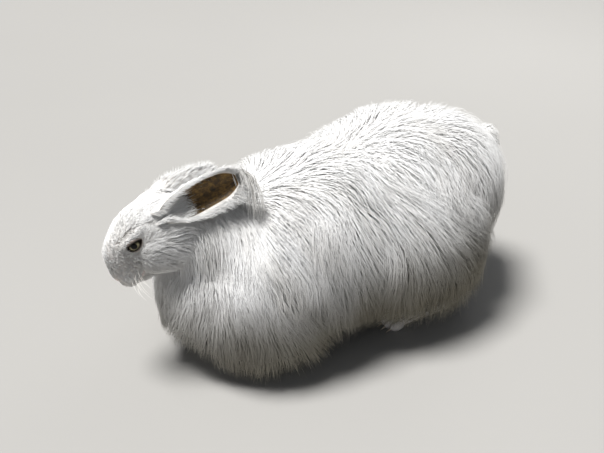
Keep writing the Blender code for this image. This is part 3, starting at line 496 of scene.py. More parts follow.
def unite(target, others):
    """Joins closed meshes into one closed surface and removes the ones joined."""
    group = bpy.data.collections.new("joined")
    bpy.context.scene.collection.children.link(group)
    for other in others:
        bpy.context.scene.collection.objects.unlink(other)
        group.objects.link(other)
    step = target.modifiers.new("join", "BOOLEAN")
    step.operation, step.operand_type, step.collection, step.solver = "UNION", "COLLECTION", group, "MANIFOLD"
    bpy.context.view_layer.objects.active = target
    bpy.ops.object.modifier_apply(modifier=step.name)
    for other in others:
        bpy.data.objects.remove(other)
    bpy.data.collections.remove(group)
    target.data.shade_smooth()
    return target


def set_number(target, name, values):
    """Stores one number for each point of the mesh."""
    attribute = target.data.attributes.new(name, "FLOAT", "POINT")
    attribute.data.foreach_set("value", np.asarray(values, np.float32).ravel())


def finish_piece(target, material, replaced=(), body="root"):
    """Gives a piece its material, body and slot, and hides the nodes that it replaces."""
    target.data.materials.clear()
    target.data.materials.append(material)
    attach(target, body)
    if replaced:
        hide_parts(*replaced)


# Strands


def strands(name, paths, outs, widths, uv, tones, thin=0.5, softness=0.9, fray=1.0):
    """Many closed strands as one mesh, for numbers of strands n and of places k on each path.

    Each place but the last carries a ring of three points: to both sides by half the width, and outwards by
    the width times thin. The width goes as (1 - share ** 2.2) ** fray. The last place is the tip. Normals are
    the ring's own turned towards the coat's outward way by the softness.
    """
    count, steps = paths.shape[:2]
    share = np.linspace(0, 1, steps)[:-1]
    heading = unit(np.gradient(paths, axis=1))[:, :-1]
    side = unit(np.cross(heading, outs[:, :-1]))
    flat = np.cross(side, heading)
    size = widths[:, None, None] * ((1 - share**2.2) ** fray)[None, :, None]
    base = paths[:, :-1]
    rings = np.stack([base - side * size / 2, base + flat * size * thin, base + side * size / 2], 2)
    normals = np.stack([-side, flat, side], 2) * (1 - softness) + outs[:, :-1, None] * softness
    tip_normals = outs[:, -1] * softness + heading[:, -1] * (1 - softness)
    places = (steps - 1) * 3 + 1
    points = np.concatenate([rings.reshape(count, -1, 3), paths[:, -1:]], 1).reshape(-1, 3)
    normals = unit(np.concatenate([normals.reshape(count, -1, 3), tip_normals[:, None]], 1)).reshape(-1, 3)

    sides = grid_faces(steps - 1, 3)
    last = (steps - 2) * 3
    ends = np.array([(0, 2, 1), *((last + j, last + (j + 1) % 3, last + 3) for j in range(3))])
    loops = np.concatenate([sides.ravel(), ends.ravel()])
    sizes = np.concatenate([np.full(len(sides), 4), np.full(len(ends), 3)])
    starts = np.cumsum(sizes) - sizes
    corners = (loops[None] + np.arange(count)[:, None] * places).ravel()
    face_starts = (starts[None] + np.arange(count)[:, None] * len(loops)).ravel()

    mesh = bpy.data.meshes.new(name)
    mesh.vertices.add(len(points))
    mesh.vertices.foreach_set("co", (points + SHIFT).astype(np.float32).ravel())
    mesh.loops.add(len(corners))
    mesh.loops.foreach_set("vertex_index", corners.astype(np.int32))
    mesh.polygons.add(len(face_starts))
    mesh.polygons.foreach_set("loop_start", face_starts.astype(np.int32))
    mesh.update(calc_edges=True)
    made = put_object(name, mesh)

    mark = np.append(np.repeat(share, 3), 1.0)
    across = np.append(np.tile((0.0, 0.5, 1.0), steps - 1), 0.5)
    patch = np.stack([across, mark], -1) * PATCH_SIZE
    spots = (uv[:, None, :] + patch[None]).reshape(-1, 2)
    layer = mesh.uv_layers.new(name="OFBake")
    layer.data.foreach_set("uv", spots[corners].astype(np.float32).ravel())
    set_number(made, "along", np.tile(mark, count))
    set_number(made, "tone", np.repeat(tones, places))
    attribute = mesh.attributes.new("custom_normal", "FLOAT_VECTOR", "POINT")
    attribute.data.foreach_set("vector", normals.astype(np.float32).ravel())
    mesh.update()
    return made


def coat_pieces(name, paths, outs, widths, uv, tones, material, replaced, **looks):
    """Strands in as many pieces as their triangles need, parted from front to back."""
    each = (paths.shape[1] - 2) * 6 + 4
    order = np.argsort(paths[:, 0, 0])
    pieces = ceil(len(order) * each / PIECE_TRIANGLES)
    for i, part in enumerate(np.array_split(order, pieces)):
        label = name if pieces == 1 else f"{name}_{i + 1}"
        chosen = (values[part] for values in (paths, outs, widths, uv, tones))
        finish_piece(strands(label, *chosen, **looks), material, replaced)


def sample(grid, count, draw, patch):
    """Random roots spread by area over closed rings: places, outward ways, and places in the map's patch."""
    around = np.concatenate([grid, grid[:, :1]], 1)
    a, b, c, d = around[:-1, :-1], around[1:, :-1], around[:-1, 1:], around[1:, 1:]
    normal = np.cross(b - a, c - a)
    area = np.linalg.norm(normal, axis=-1) + np.linalg.norm(np.cross(b - d, c - d), axis=-1)
    normal = normal * np.sign((normal * (a - grid.mean(1)[:-1, None])).sum())
    chance = np.cumsum(area.ravel())
    cell = np.minimum(np.searchsorted(chance, draw.uniform(0, chance[-1], count)), area.size - 1)
    i, j = np.unravel_index(cell, area.shape)
    p, q = draw.uniform(size=(2, count, 1))
    place = a[i, j] * (1 - p) * (1 - q) + b[i, j] * p * (1 - q) + c[i, j] * (1 - p) * q + d[i, j] * p * q
    left, bottom, wide, high = patch
    u, v = (i + p[:, 0]) / area.shape[0], (j + q[:, 0]) / area.shape[1]
    return place, unit(normal[i, j]), np.stack([left + wide * u, bottom + high * v], -1)


def nearest(points, centres):
    """For each point the number of the centre that is nearest to it."""
    found = []
    for part in np.array_split(points, len(points) * len(centres) // MOST_PAIRS + 1):
        found.append(np.argmin(np.square(centres).sum(-1) - 2 * part @ centres.T, axis=1))
    return np.concatenate(found)


def gathered(paths, roots, centres, reach, power):
    """Draws paths to the mean tip of those round the same centre: by reach * share ** power of the way."""
    count = len(centres)
    member = nearest(roots, centres)
    number = np.maximum(np.bincount(member, minlength=count), 1)[:, None]
    tips = np.stack([np.bincount(member, paths[:, -1, i], count) for i in range(3)], -1) / number
    share = along_path(paths.shape[1]) ** power
    return paths + (tips[member][:, None] - paths[:, -1:]) * share * reach


def bent_paths(roots, ways, lengths, pull):
    """Short strands that are pulled aside: root + way * length * share + pull * length * share ** 2."""
    share = along_path(SHORT_STEPS)
    lengths = lengths[:, None, None]
    pull = np.broadcast_to(pull, roots.shape)[:, None]
    return roots[:, None] + ways[:, None] * lengths * share + pull * lengths * share**2


def waves(paths, outs, size, length, draw):
    """Bends paths to and fro sideways: size * share * sin(2 pi * distance / length + their own phase)."""
    steps = np.linalg.norm(np.diff(paths, axis=1), axis=-1)
    far = np.concatenate([np.zeros((len(paths), 1)), np.cumsum(steps, 1)], 1)
    side = unit(np.cross(unit(np.gradient(paths, axis=1)), outs))
    phase = draw.uniform(0, 2 * pi, (len(paths), 1))
    bend = np.sin(2 * pi * far / length + phase) - np.sin(phase)
    return paths + side * (bend * size * np.linspace(0, 1, paths.shape[1]))[..., None]


def laid(way, outs, ease):
    """A way turned along the surface, and less so where the surface faces down and hair hangs free of it."""
    held = np.clip(1 + outs[:, 2:] * ease, 0, 1)
    return unit(way - outs * dot(way, outs) * held)


def coat_lie(points, outs):
    """The way the long coat lies: parted along the spine, down the sides, and backwards over the hips."""
    x, y = points[:, 0], points[:, 1]
    backward = (0.05 + 0.15 * fade(x + 0.05, 0.15)) * fade(0.22 - x, 0.07)
    backward += 0.08 * np.clip(outs[:, 2], 0, 1) + 0.55 * fade(outs[:, 2] - 0.80, 0.15)
    parted = 0.7 * np.clip(y / 0.03, -1, 1) * np.clip(outs[:, 2], 0, 1)
    return laid(np.stack([backward, parted, np.full(len(points), -0.78)], -1), outs, 2.5)


def from_eye(points, side):
    """How far points are round an eye's oval, and how far they are along and across its opening."""
    centre, look, along, across = eye_frame(side)
    offset = points - centre
    x, y = offset @ along, offset @ across
    return np.hypot(x / 1.30, y) + 0.1 * (offset @ look < 0), x, y


def brow_fold(points):
    """1 in the fold over each eye, which leaves the lid as it runs back, and 0 some millimetres beside it."""
    fold = np.zeros(points.shape[:-1])
    for side in (-1, 1):
        near, x, y = from_eye(points, side)
        away = near - 0.0118 - 0.30 * np.clip(-x, 0, 0.02)
        fold = np.maximum(fold, np.exp(-((away / 0.0026) ** 2)) * fade(y, 0.006))
    return fold


def face_depth(points):
    """Depth of the head's hair: least on the nose, more on brow and cheeks, with a hollow round each eye."""
    s, _, v = head_places(points)
    depth = 0.0012 + 0.0042 * fade(0.092 - s, 0.020)
    crown = fade(v, 0.012) * fade(0.046 - s, 0.020)
    cheek = fade(0.006 - v, 0.012) * fade(0.060 - s, 0.030)
    jaw = fade(0.004 - v, 0.016) * fade(0.045 - s, 0.035)
    depth = depth * (1 - 0.50 * crown) + 0.0050 * cheek + 0.0090 * jaw
    for side in (-1, 1):
        near, _, _ = from_eye(points, side)
        depth = depth * (0.16 + 0.84 * fade(near - 0.0068, 0.005))
    return depth * (1 - 0.75 * brow_fold(points))


def face_lie(points, outs):
    """The way the head's hair lies: back from the nose, and down over the cheeks."""
    _, lat, v = head_places(points)
    low = fade(0.008 - v, 0.016)[:, None]
    way = -FORWARD * (1 - 0.45 * low) + DOWN * (0.10 + 0.60 * low) + np.array((0.60, 0, 0)) * low
    way = way + HEAD_LAT * (np.sign(lat) * 0.30)[:, None] * (1 - low)
    return laid(way, outs, 1.6)


def trunk_share(points):
    """0 on the head and 1 on the trunk, going over within some millimetres where they meet."""
    return np.clip(0.5 + (head_field(points) - trunk_field(points) + 0.002) / 0.014, 0, 1)


def joined_field(points):
    """The head's field, going over to the trunk's by trunk_share."""
    share = trunk_share(points)
    return head_field(points) * (1 - share) + trunk_field(points) * share


def joined_depth(points):
    """The depth of the head's hair, going over to the coat's by trunk_share."""
    share = trunk_share(points)
    return face_depth(points) * (1 - share) + coat_depth(points) * share


def joined_lie(points, outs):
    """The lie of the head's hair, going over to the coat's by trunk_share."""
    share = trunk_share(points)[:, None]
    return unit(face_lie(points, outs) * (1 - share) + coat_lie(points, outs) * share)


BODY_COAT = (trunk_field, coat_depth, coat_lie)
FACE_COAT = (joined_field, joined_depth, joined_lie)


def coat_paths(coat, roots, lengths, heights, turns, steps):
    """Carries hairs from their roots along the coat's lie, while they rise to their height in the coat.

    The height over the flesh goes as the coat's depth * height * (1 - (1 - share) ** 3.2).
    """
    field, depth, lie = coat
    point = roots
    out = slope(field, point)
    facing = out
    places, facings = [point], [facing]
    heading = unit(lie(point, out) * 0.5 + out)
    step = (lengths / (steps - 1))[:, None]
    for share in np.linspace(0, 1, steps)[1:]:
        way = lie(point, out)
        way = way * np.cos(turns) + np.cross(out, way) * np.sin(turns)
        height = depth(point) * heights * (1 - (1 - share) ** 3.2)
        rise = (height - field(point))[:, None] / step
        rise = np.where(rise < 0, rise * np.clip(1 + out[:, 2:] * 2.5, 0, 1), rise)
        heading = unit(heading * STIFFNESS + unit(way + out * np.clip(rise, -0.8, 1.5)))
        point = point + heading * step
        out = slope(field, point)
        facing = unit(facing + out)
        places.append(point)
        facings.append(facing)
    return np.stack(places, 1), np.stack(facings, 1)


def hung_paths(roots, lengths, heights, turns, steps):
    """Coat paths that are shortened where they would hang below the hem."""
    places, _ = coat_paths(BODY_COAT, roots, lengths, heights, turns, 4)
    fall = places[:, 0, 2] - places[:, -1, 2]
    room = places[:, 0, 2] - hem_height(places[:, -1])
    uneven = 1 + 0.11 * swirl(roots, 0.004, 77)
    lengths = lengths * np.clip(room / np.maximum(fall, 1e-4) * uneven, 0.22, 1)
    return coat_paths(BODY_COAT, roots, lengths, heights, turns, steps)


def relief(points):
    """Height of the coat as a share of its depth: folds along the hair, and a deep one behind the chest."""
    folds = 1 + 0.13 * swirl(points * (1, 1, 0.36), 0.045, 61)
    folds = folds + 0.05 * swirl(points * (1, 1, 0.5), 0.018, 62)
    x, y, z = np.moveaxis(points, -1, 0)
    high = fade(z - 0.160, 0.025)
    folds = np.minimum(folds - 0.12 * high, 1.30 - 0.28 * high)
    across = (x + 0.034 + 0.17 * z) / 0.010
    side = fade(np.abs(y) - 0.03, 0.02)
    tuck = 0.60 * fade(x - 0.14, 0.05) * fade(0.172 - z, 0.07)
    return folds - 0.32 * np.exp(-(across**2)) * side * fade(0.150 - z, 0.04) - tuck


def wool_field(points):
    """Height over the down, which thins out at the hem and round the head."""
    share = 0.50 * fade(points[..., 2] - hem_height(points), 0.040)
    share = share * fade(head_field(points) - 0.002, 0.030)
    return trunk_field(points) - coat_depth(points) * relief(points) * share


def coat_length(points, outs):
    """The coat's length as a share of its full one: short on the neck, longest low on chest and flanks."""
    front = fade(points[:, 0] + 0.150, 0.10)
    top = np.clip(outs[:, 2], 0, 1)
    low = fade(0.11 - points[:, 2], 0.05)
    return np.minimum(0.50 + 0.50 * front - 0.18 * top + 0.32 * low, 1.05)


# Shader maths


class Number:
    """A socket, where arithmetic adds Math nodes."""

    def __init__(self, tree, socket):
        self.tree, self.socket = tree, socket

    def math(self, operation, first, second):
        node = self.tree.nodes.new("ShaderNodeMath")
        node.operation = operation
        for socket, value in zip(node.inputs, (first, second)):
            plug(self.tree, socket, value)
        return Number(self.tree, node.outputs[0])

    def __add__(self, other):
        return self.math("ADD", self, other)

    def __radd__(self, other):
        return self.math("ADD", other, self)

    def __sub__(self, other):
        return self.math("SUBTRACT", self, other)

    def __rsub__(self, other):
        return self.math("SUBTRACT", other, self)

    def __mul__(self, other):
        return self.math("MULTIPLY", self, other)

    def __rmul__(self, other):
        return self.math("MULTIPLY", other, self)


def plug(tree, socket, value):
    """Links a value that is a node's output, or sets it on the socket."""
    if isinstance(value, Number):
        tree.links.new(value.socket, socket)
    elif hasattr(value, "__len__") and len(value) == 3 and socket.type == "RGBA":
        socket.default_value = (*value, 1)
    else:
        socket.default_value = value


class Finish:
    """A material whose nodes are added one by one; put() feeds its Principled shader."""

    def __init__(self, name, colour, roughness):
        self.material = bpy.data.materials.new(name)
        self.material.use_nodes = True
        self.tree = self.material.node_tree
        self.shader = self.tree.nodes["Principled BSDF"]
        self.put("Base Color", colour)
        self.put("Roughness", roughness)
        self.material.diffuse_color = (*colour, 1)

    def put(self, socket, value):
        """Feeds one socket of the Principled shader."""
        plug(self.tree, self.shader.inputs[socket], value)

    def node(self, kind, values=None, settings=None, output=0):
        """Adds a node of any kind: its settings first, then the values or links of its sockets."""
        node = self.tree.nodes.new("ShaderNode" + kind)
        for key, value in (settings or {}).items():
            setattr(node, key, value)
        for key, value in (values or {}).items():
            plug(self.tree, node.inputs[key], value)
        return Number(self.tree, node.outputs[output])

    def attribute(self, name):
        return self.node("Attribute", settings={"attribute_name": name}, output="Fac")

    def place(self):
        return self.node("TexCoord", output="Object")

    def noise(self, scale, detail, vector=None, rough=0.5):
        values = {"Scale": scale, "Detail": detail, "Roughness": rough, "Vector": vector or self.place()}
        return self.node("TexNoise", values)

    def mix(self, factor, first, second, blend="MIX"):
        """Mixes two colours."""
        settings = {"data_type": "RGBA", "blend_type": blend}
        return self.node("Mix", {0: factor, 6: first, 7: second}, settings, 2)

    def between(self, value, low, high):
        """0 below low and 1 above high, eased in between."""
        values = {"Value": value, "From Min": low, "From Max": high}
        return self.node("MapRange", values, {"interpolation_type": "SMOOTHSTEP"})

    def ramp(self, value, stops):
        """A colour read from stops of place and colour."""
        made = self.node("ValToRGB", {0: value})
        bar = made.socket.node.color_ramp
        while len(bar.elements) < len(stops):
            bar.elements.new(0.5)
        for element, (place, colour) in zip(bar.elements, stops):
            element.position, element.color = place, (*colour, 1)
        return made

    def bump(self, height, strength, distance):
        values = {"Height": height, "Strength": strength, "Distance": distance}
        self.put("Normal", self.node("Bump", values))


def hair_finish(name, colours, roughness):
    """White hair, brighter to its tip, and darker low on the coat and towards the rear, partly soiling and
    mostly painted shade.

    Tone 0 to 1 is a little warmer and darker, and on the long coat it paints shade at the wisps' edges. Tone
    1 to
    2 is painted shade in the coat's folds and the brow folds, under muzzle and jaw, and on the thin ear
    tufts.
    """
    made = Finish(name, colours.tip, roughness)
    along, tone = made.attribute("along"), made.attribute("tone")
    light = made.mix(made.between(along, 0.05, 0.75), colours.root, colours.tip)
    # Tone 0 to 1 tints warmer and a little darker; on the long coat it also paints shade at the wisps' edges
    warm_and_shade = made.mix(tone, (1.0, 1.0, 1.0), colours.warm_and_shade, "MULTIPLY")
    height = made.node("SeparateXYZ", {"Vector": made.place()}, output="Z")
    along_body = made.node("SeparateXYZ", {"Vector": made.place()}, output="X")
    # Painted shade with some soiling: darker low on the coat and more so towards the rear, where the coat
    # lies in shade
    low = made.between(0.138 + along_body * 0.17 - height + made.noise(22, 2) * 0.03, 0.0, 0.115)
    stain_and_shade = made.mix(low, (1.0, 1.0, 1.0), colours.stain_and_shade)
    # Painted shade: tone 1 to 2 darkens the coat's folds, the brow folds, hair facing down under the head,
    # and the ear tufts
    fold = made.mix(made.between(tone, 1.0, 2.0), (1.0, 1.0, 1.0), colours.shade)
    tint = made.mix(1.0, warm_and_shade, made.mix(1.0, stain_and_shade, fold, "MULTIPLY"), "MULTIPLY")
    made.put("Base Color", made.mix(1.0, light, tint, "MULTIPLY"))
    made.put("Specular IOR Level", 0.35)
    made.put("Sheen Weight", 0.25)
    made.put("Sheen Roughness", 0.4)
    return made.material


# Settings


class RABBIT_PG_coat(bpy.types.PropertyGroup):
    strands: IntProperty(
        name="Strands", description="How many strands the long coat has", default=39500, min=500,
    )
    wisps: IntProperty(name="Wisps", description="How many wisps the strands gather in", default=760, min=20)
    locks: IntProperty(name="Locks", description="How many broad locks the wisps lean to", default=150, min=8)
    length: FloatProperty(name="Length", description="Full length of the coat", default=0.096, unit="LENGTH")
    width: FloatProperty(name="Strand width", description="Width of a strand", default=0.0008, unit="LENGTH")
    wave: FloatProperty(
        name="Wave", description="How far a strand swings aside", default=0.0015, unit="LENGTH",
    )
    seed: IntProperty(name="Seed", description="Seed of every random draw", default=7)
    tip: FloatVectorProperty(
        name="Tip colour", description="Colour of the coat at its tips",
        default=(0.955, 0.957, 0.957), subtype="COLOR",
    )
    root: FloatVectorProperty(
        name="Root colour", description="Colour of the coat at its roots",
        default=(0.90, 0.89, 0.875), subtype="COLOR",
    )
    # Warmer, darker tint of some wisps, which also paints shade at the edges of the long coat's wisps
    warm_and_shade: FloatVectorProperty(
        name="Warm tint", description="Tint of the warmest wisps",
        default=(0.90, 0.885, 0.86), subtype="COLOR",
    )
    # Soiling and painted shade low on the coat, darkest near the floor and towards the rear
    stain_and_shade: FloatVectorProperty(
        name="Stain", description="Tint of the coat near the floor",
        default=(0.29, 0.265, 0.205), subtype="COLOR",
    )
    # Painted shade in the coat's folds, under the head and on the thin ear tufts
    shade: FloatVectorProperty(
        name="Shade", description="Tint of folds and thin tufts", default=(0.33, 0.32, 0.30), subtype="COLOR"
    )


class RABBIT_PG_face(bpy.types.PropertyGroup):
    strands: IntProperty(
        name="Strands", description="How many short hairs the head has", default=24000, min=500,
    )
    length: FloatProperty(name="Length", description="Hair on the cheeks", default=0.013, unit="LENGTH")
    width: FloatProperty(
        name="Hair width", description="Width of a short hair", default=0.00055, unit="LENGTH",
    )
    whiskers: IntProperty(name="Whiskers", description="Whiskers on each side", default=11, min=0)
    whisker: FloatProperty(name="Whisker length", description="Longest whisker", default=0.042, unit="LENGTH")
    nose: FloatVectorProperty(
        name="Nose colour", description="Skin of nose and lips", default=(0.62, 0.42, 0.38), subtype="COLOR"
    )
    skin: FloatVectorProperty(
        name="Skin colour", description="Skin under the coat", default=(0.80, 0.74, 0.70), subtype="COLOR"
    )


class RABBIT_PG_eye(bpy.types.PropertyGroup):
    opening: FloatProperty(name="Opening", description="Length of the opening", default=0.0172, unit="LENGTH")
    height: FloatProperty(name="Height", description="Height of the opening", default=0.0088, unit="LENGTH")
    lid: FloatProperty(name="Lid", description="Thickness of the lids", default=0.0013, unit="LENGTH")
    iris: FloatVectorProperty(
        name="Iris colour", description="Ring round the pupil", default=(0.40, 0.36, 0.22), subtype="COLOR"
    )


class RABBIT_PG_ear(bpy.types.PropertyGroup):
    inside: FloatVectorProperty(
        name="Inside colour", description="Skin inside the ear",
        default=(0.200, 0.112, 0.027), subtype="COLOR",
    )
    dark: FloatVectorProperty(
        name="Dark colour", description="Darkest skin inside the ear",
        default=(0.030, 0.018, 0.008), subtype="COLOR",
    )
    tuft: FloatProperty(
        name="Tuft", description="Length of the hair at the tip", default=0.056, unit="LENGTH",
    )
    hairs: IntProperty(name="Hairs", description="Short hairs on each ear", default=2400, min=100)


class RABBIT_PG_studio(bpy.types.PropertyGroup):
    azimuth: FloatProperty(name="Azimuth", description="Where the camera stands", default=-28.0)
    elevation: FloatProperty(name="Elevation", description="How high it stands, in degrees", default=33.0)
    distance: FloatProperty(name="Distance", description="From camera to rabbit", default=0.95, unit="LENGTH")
    lens: FloatProperty(name="Lens", description="Focal length in millimetres", default=52.66)
    key: FloatProperty(name="Key light", description="Strength of the overhead light", default=5.4)


# Pieces


LEG_NODES = ("foreleg_left", "foreleg_right", "hindleg_left", "hindleg_right")
FLESH_NODES = ("head", "neck", "torso", "tail", *LEG_NODES)


def apart_from(points, line):
    """Square of the distance to the nearest place of a line."""
    apart = np.full(points.shape[:-1], np.inf)
    for place in line:
        apart = np.minimum(apart, np.square(points - place).sum(-1))
    return apart


def creased_head(points):
    """The head's field with mouth, cleft, nostrils and the folds round the eyes as soft grooves."""
    field = head_field(points)
    for line, depth, width in head_creases():
        field = field + depth * np.exp(-apart_from(points, line) / width**2)
    for side in (-1, 1):
        socket = EYE_RADIUS + 0.0004 - np.linalg.norm(points - eye_centre(side), axis=-1)
        field = np.maximum(field, socket)
    return field


def on_head(starts, ways):
    """A line on the head's surface, cast from inside it."""
    return cast(head_field, np.broadcast_to(starts, ways.shape), unit(ways), 0.05)


@cache
def head_creases():
    """Mouth, cleft, two nostrils and two eye folds: each line with its groove's depth and width."""
    turn = np.linspace(-1, 1, 33)
    angle = np.radians(180 - 76 * np.abs(turn))
    s = 0.067 + 0.023 * (1 - np.abs(turn)) ** 0.8
    starts = SKULL_BACK + FORWARD * s[:, None] - HEAD_UP * 0.0095
    ways = HEAD_LAT * (np.sign(turn) * np.sin(angle))[:, None] - HEAD_UP * 0.25
    ways = ways + FORWARD * 0.8 * (1 - np.sin(angle))[:, None]
    found = [(on_head(starts, ways), 0.0017, 0.0009)]
    steep = np.linspace(-0.22, -0.86, 12)[:, None]
    found.append((on_head(SKULL_BACK + FORWARD * 0.0815, FORWARD + HEAD_UP * steep), 0.0016, 0.0008))
    lean = np.linspace(0, 1, 9)[:, None]
    for side in (-1, 1):
        ways = FORWARD + HEAD_LAT * side * (0.16 + 0.42 * lean) + HEAD_UP * (-0.16 + 0.42 * lean)
        found.append((on_head(SKULL_BACK + FORWARD * 0.084 + HEAD_UP * 0.0015, ways), 0.0028, 0.0011))
    arc = np.radians(np.linspace(20, 165, 18))[:, None]
    for side in (-1, 1):
        centre, look, along, across = eye_frame(side)
        ways = look + along * np.cos(arc) * 1.15 + across * np.sin(arc) * 0.95
        found.append((on_head(centre, ways), 0.0022, 0.0020))
    return found


def from_creases(points):
    """Distance to the nearest point of mouth, cleft and nostrils."""
    return np.sqrt(np.min([apart_from(points, line) for line, _, _ in head_creases()[:4]], axis=0))


def paw(name, tip, width, height, length):
    """The toes of one paw, side by side, and a claw for each as rings round a curved path."""
    toes, claws = [], []
    for i in range(TOES_PER_PAW):
        share = i / (TOES_PER_PAW - 1) - 0.5
        reach = length * (0.16 - 0.25 * share**2)
        centre = np.array(tip) + (-reach, share * width * 0.74, height * 0.36)
        radii = np.array((length * 0.20, width * 0.15, height * 0.35))
        toes.append(closed_grid(name, ball_grid(centre, radii)))
        root = centre + (-radii[0] * 0.55, 0, -height * 0.02)
        point = root + (-0.0095, 0, -height * 0.22)
        places = [root, root * 0.45 + point * 0.55 + (0, 0, 0.0007), point]
        claws.append(limb_grid(places, [(0.0013, 0.0015), (0.0009, 0.0011), (0.00015, 0.00015)], 9, 10))
    return toes, claws


def limbs():
    """Skin of each limb's parts as rings of points, with the way its fur lies and that fur's length."""
    found = []
    for side in (-1, 1):
        x, y = FORELEG_X, side * FORELEG_Y
        wide, high = FOREPAW_WIDTH / 2, FOREPAW_HEIGHT / 2
        arm = [(x + 0.012, y, 0.072), (x + 0.010, y, 0.045), (x + 0.006, y, 0.024), (x + 0.002, y, 0.010)]
        found.append((limb_grid(arm, [(r, r) for r in (0.0160, 0.0125, 0.0100, 0.0092)]), DOWN, 0.020))
        palm = [(x + 0.014, y, high * 0.8), (x, y, high * 0.85), (x - FOREPAW_LENGTH * 0.6, y, high * 0.8)]
        sizes = [(wide * 0.58, high * 0.58), (wide * 0.96, high * 0.8), (wide * 0.78, high * 0.66)]
        found.append((limb_grid(palm, sizes), FRONT_DOWN, 0.009))
        y = side * HINDLEG_Y
        wide, high = HINDFOOT_WIDTH / 2, HINDFOOT_HEIGHT / 2
        length = HIND_HEEL_X - HIND_TOE_X
        foot = [
            (HIND_HEEL_X + 0.002, y, high * 0.9),
            (HIND_HEEL_X - length * 0.15, y, high * 0.92),
            (HIND_HEEL_X - length * 0.55, y, high * 0.80),
            (HIND_TOE_X + length * 0.12, y, high * 0.62),
        ]
        shares = ((0.48, 0.56), (0.71, 0.86), (0.84, 0.75), (0.88, 0.58))
        found.append((limb_grid(foot, [(wide * w, high * h) for w, h in shares]), FRONT_DOWN, 0.010))
        heel = HIND_HEEL_X
        shank = [
            (heel - 0.006, y, 0.013), (heel - 0.013, y, 0.035), (heel - 0.035, y * 0.92, 0.062),
            (heel - 0.057, y * 0.82, 0.085)
        ]
        found.append((limb_grid(shank, [(r, r) for r in (0.0096, 0.0120, 0.0165, 0.0185)]), DOWN, 0.024))
    return found


def paws():
    """Skin of the toes, and the rings of every claw."""
    toes, claws = [], []
    length = HIND_HEEL_X - HIND_TOE_X
    for side in (-1, 1):
        fore = (FORELEG_X - FOREPAW_LENGTH * 0.5, side * FORELEG_Y, 0)
        hind = (HIND_TOE_X + length * 0.14, side * HINDLEG_Y, 0)
        for tip, sizes in (
            (fore, (FOREPAW_WIDTH, FOREPAW_HEIGHT, FOREPAW_LENGTH)),
            (hind, (HINDFOOT_WIDTH, HINDFOOT_HEIGHT * 0.75, length * 0.5)),
        ):
            balls, nails = paw("toe", tip, *sizes)
            toes += balls
            claws += nails
    return toes, claws


def tail_grid():
    """The tail's flesh, a rod whose radius goes as sqrt(1 - share ** 6) * (0.75 + 0.25 sin(pi share))."""
    share = np.linspace(0.0, 1.0, 20)
    radius = 0.0085 * np.sqrt(np.clip(1 - share**6, 0.01, 1)) * (0.75 + 0.25 * np.sin(pi * share))
    up = np.cross(TAIL_WAY, SIDEWAYS)
    angle = circle(24)[None, :, None]
    radial = np.cos(angle) * up + np.sin(angle) * SIDEWAYS
    return TAIL_ROOT + TAIL_WAY * (TAIL_LENGTH * share)[:, None, None] + radial * radius[:, None, None]


def eye_ways(side, angle, polar):
    """Ways from an eye's centre: polar is the angle off its look, and angle runs round that."""
    _, look, along, across = eye_frame(side)
    flat = (along * np.cos(angle)[..., None] + across * np.sin(angle)[..., None]) * np.sin(polar)[..., None]
    return flat + look * np.cos(polar + 0 * angle)[..., None]


class RABBIT_OT_skin(bpy.types.Operator):
    """One skin over trunk, head, legs and tail, and the claws"""

    bl_idname = "rabbit.skin"
    bl_label = "Skin"

    def execute(self, context):
        face = context.scene.rabbit_face
        fine = 1.0
        skin = closed_grid("skin", trunk_grid(trunk_field, 96, 110)[1:-1])
        head = closed_grid("head_skin", head_grid(creased_head, int(230 * fine), int(210 * fine))[1:-1])
        toes, claws = paws()
        bones = [closed_grid("limb", rings) for rings, _, _ in limbs()]
        scut = closed_grid("scut", tail_grid())
        unite(skin, [head, scut, *toes, *bones])
        points = read_points(skin) - SHIFT
        pink = np.exp(-np.square(points - NOSE_TIP).sum(-1) / 0.0052**2)
        pink = np.maximum(pink, 0.9 * np.exp(-((from_creases(points) / 0.0018) ** 2)))
        set_number(skin, "pink", pink)

        made = Finish("skin", face.skin, 0.6)
        speck = made.noise(260, 4)
        fair = made.mix(made.between(speck, 0.35, 0.7), face.skin, (0.88, 0.85, 0.82))
        made.put("Base Color", made.mix(made.attribute("pink"), fair, face.nose))
        made.put("Roughness", 0.62 - made.attribute("pink") * 0.22)
        made.bump(made.noise(900, 5), 0.5, 0.0006)
        finish_piece(skin, made.material, FLESH_NODES)

        nails = None
        for i, rings in enumerate(claws):
            nail = closed_grid(f"claw_{i + 1}", rings)
            nails = unite(nails, [nail]) if nails else nail
        nails.name = "claws"
        horn = Finish("claw_horn", (0.55, 0.46, 0.36), 0.35)
        streak = horn.noise(500, 3)
        horn.put("Base Color", horn.mix(streak, (0.42, 0.34, 0.26), (0.66, 0.58, 0.48)))
        horn.bump(streak, 0.3, 0.0003)
        finish_piece(nails, horn.material)
        return {"FINISHED"}


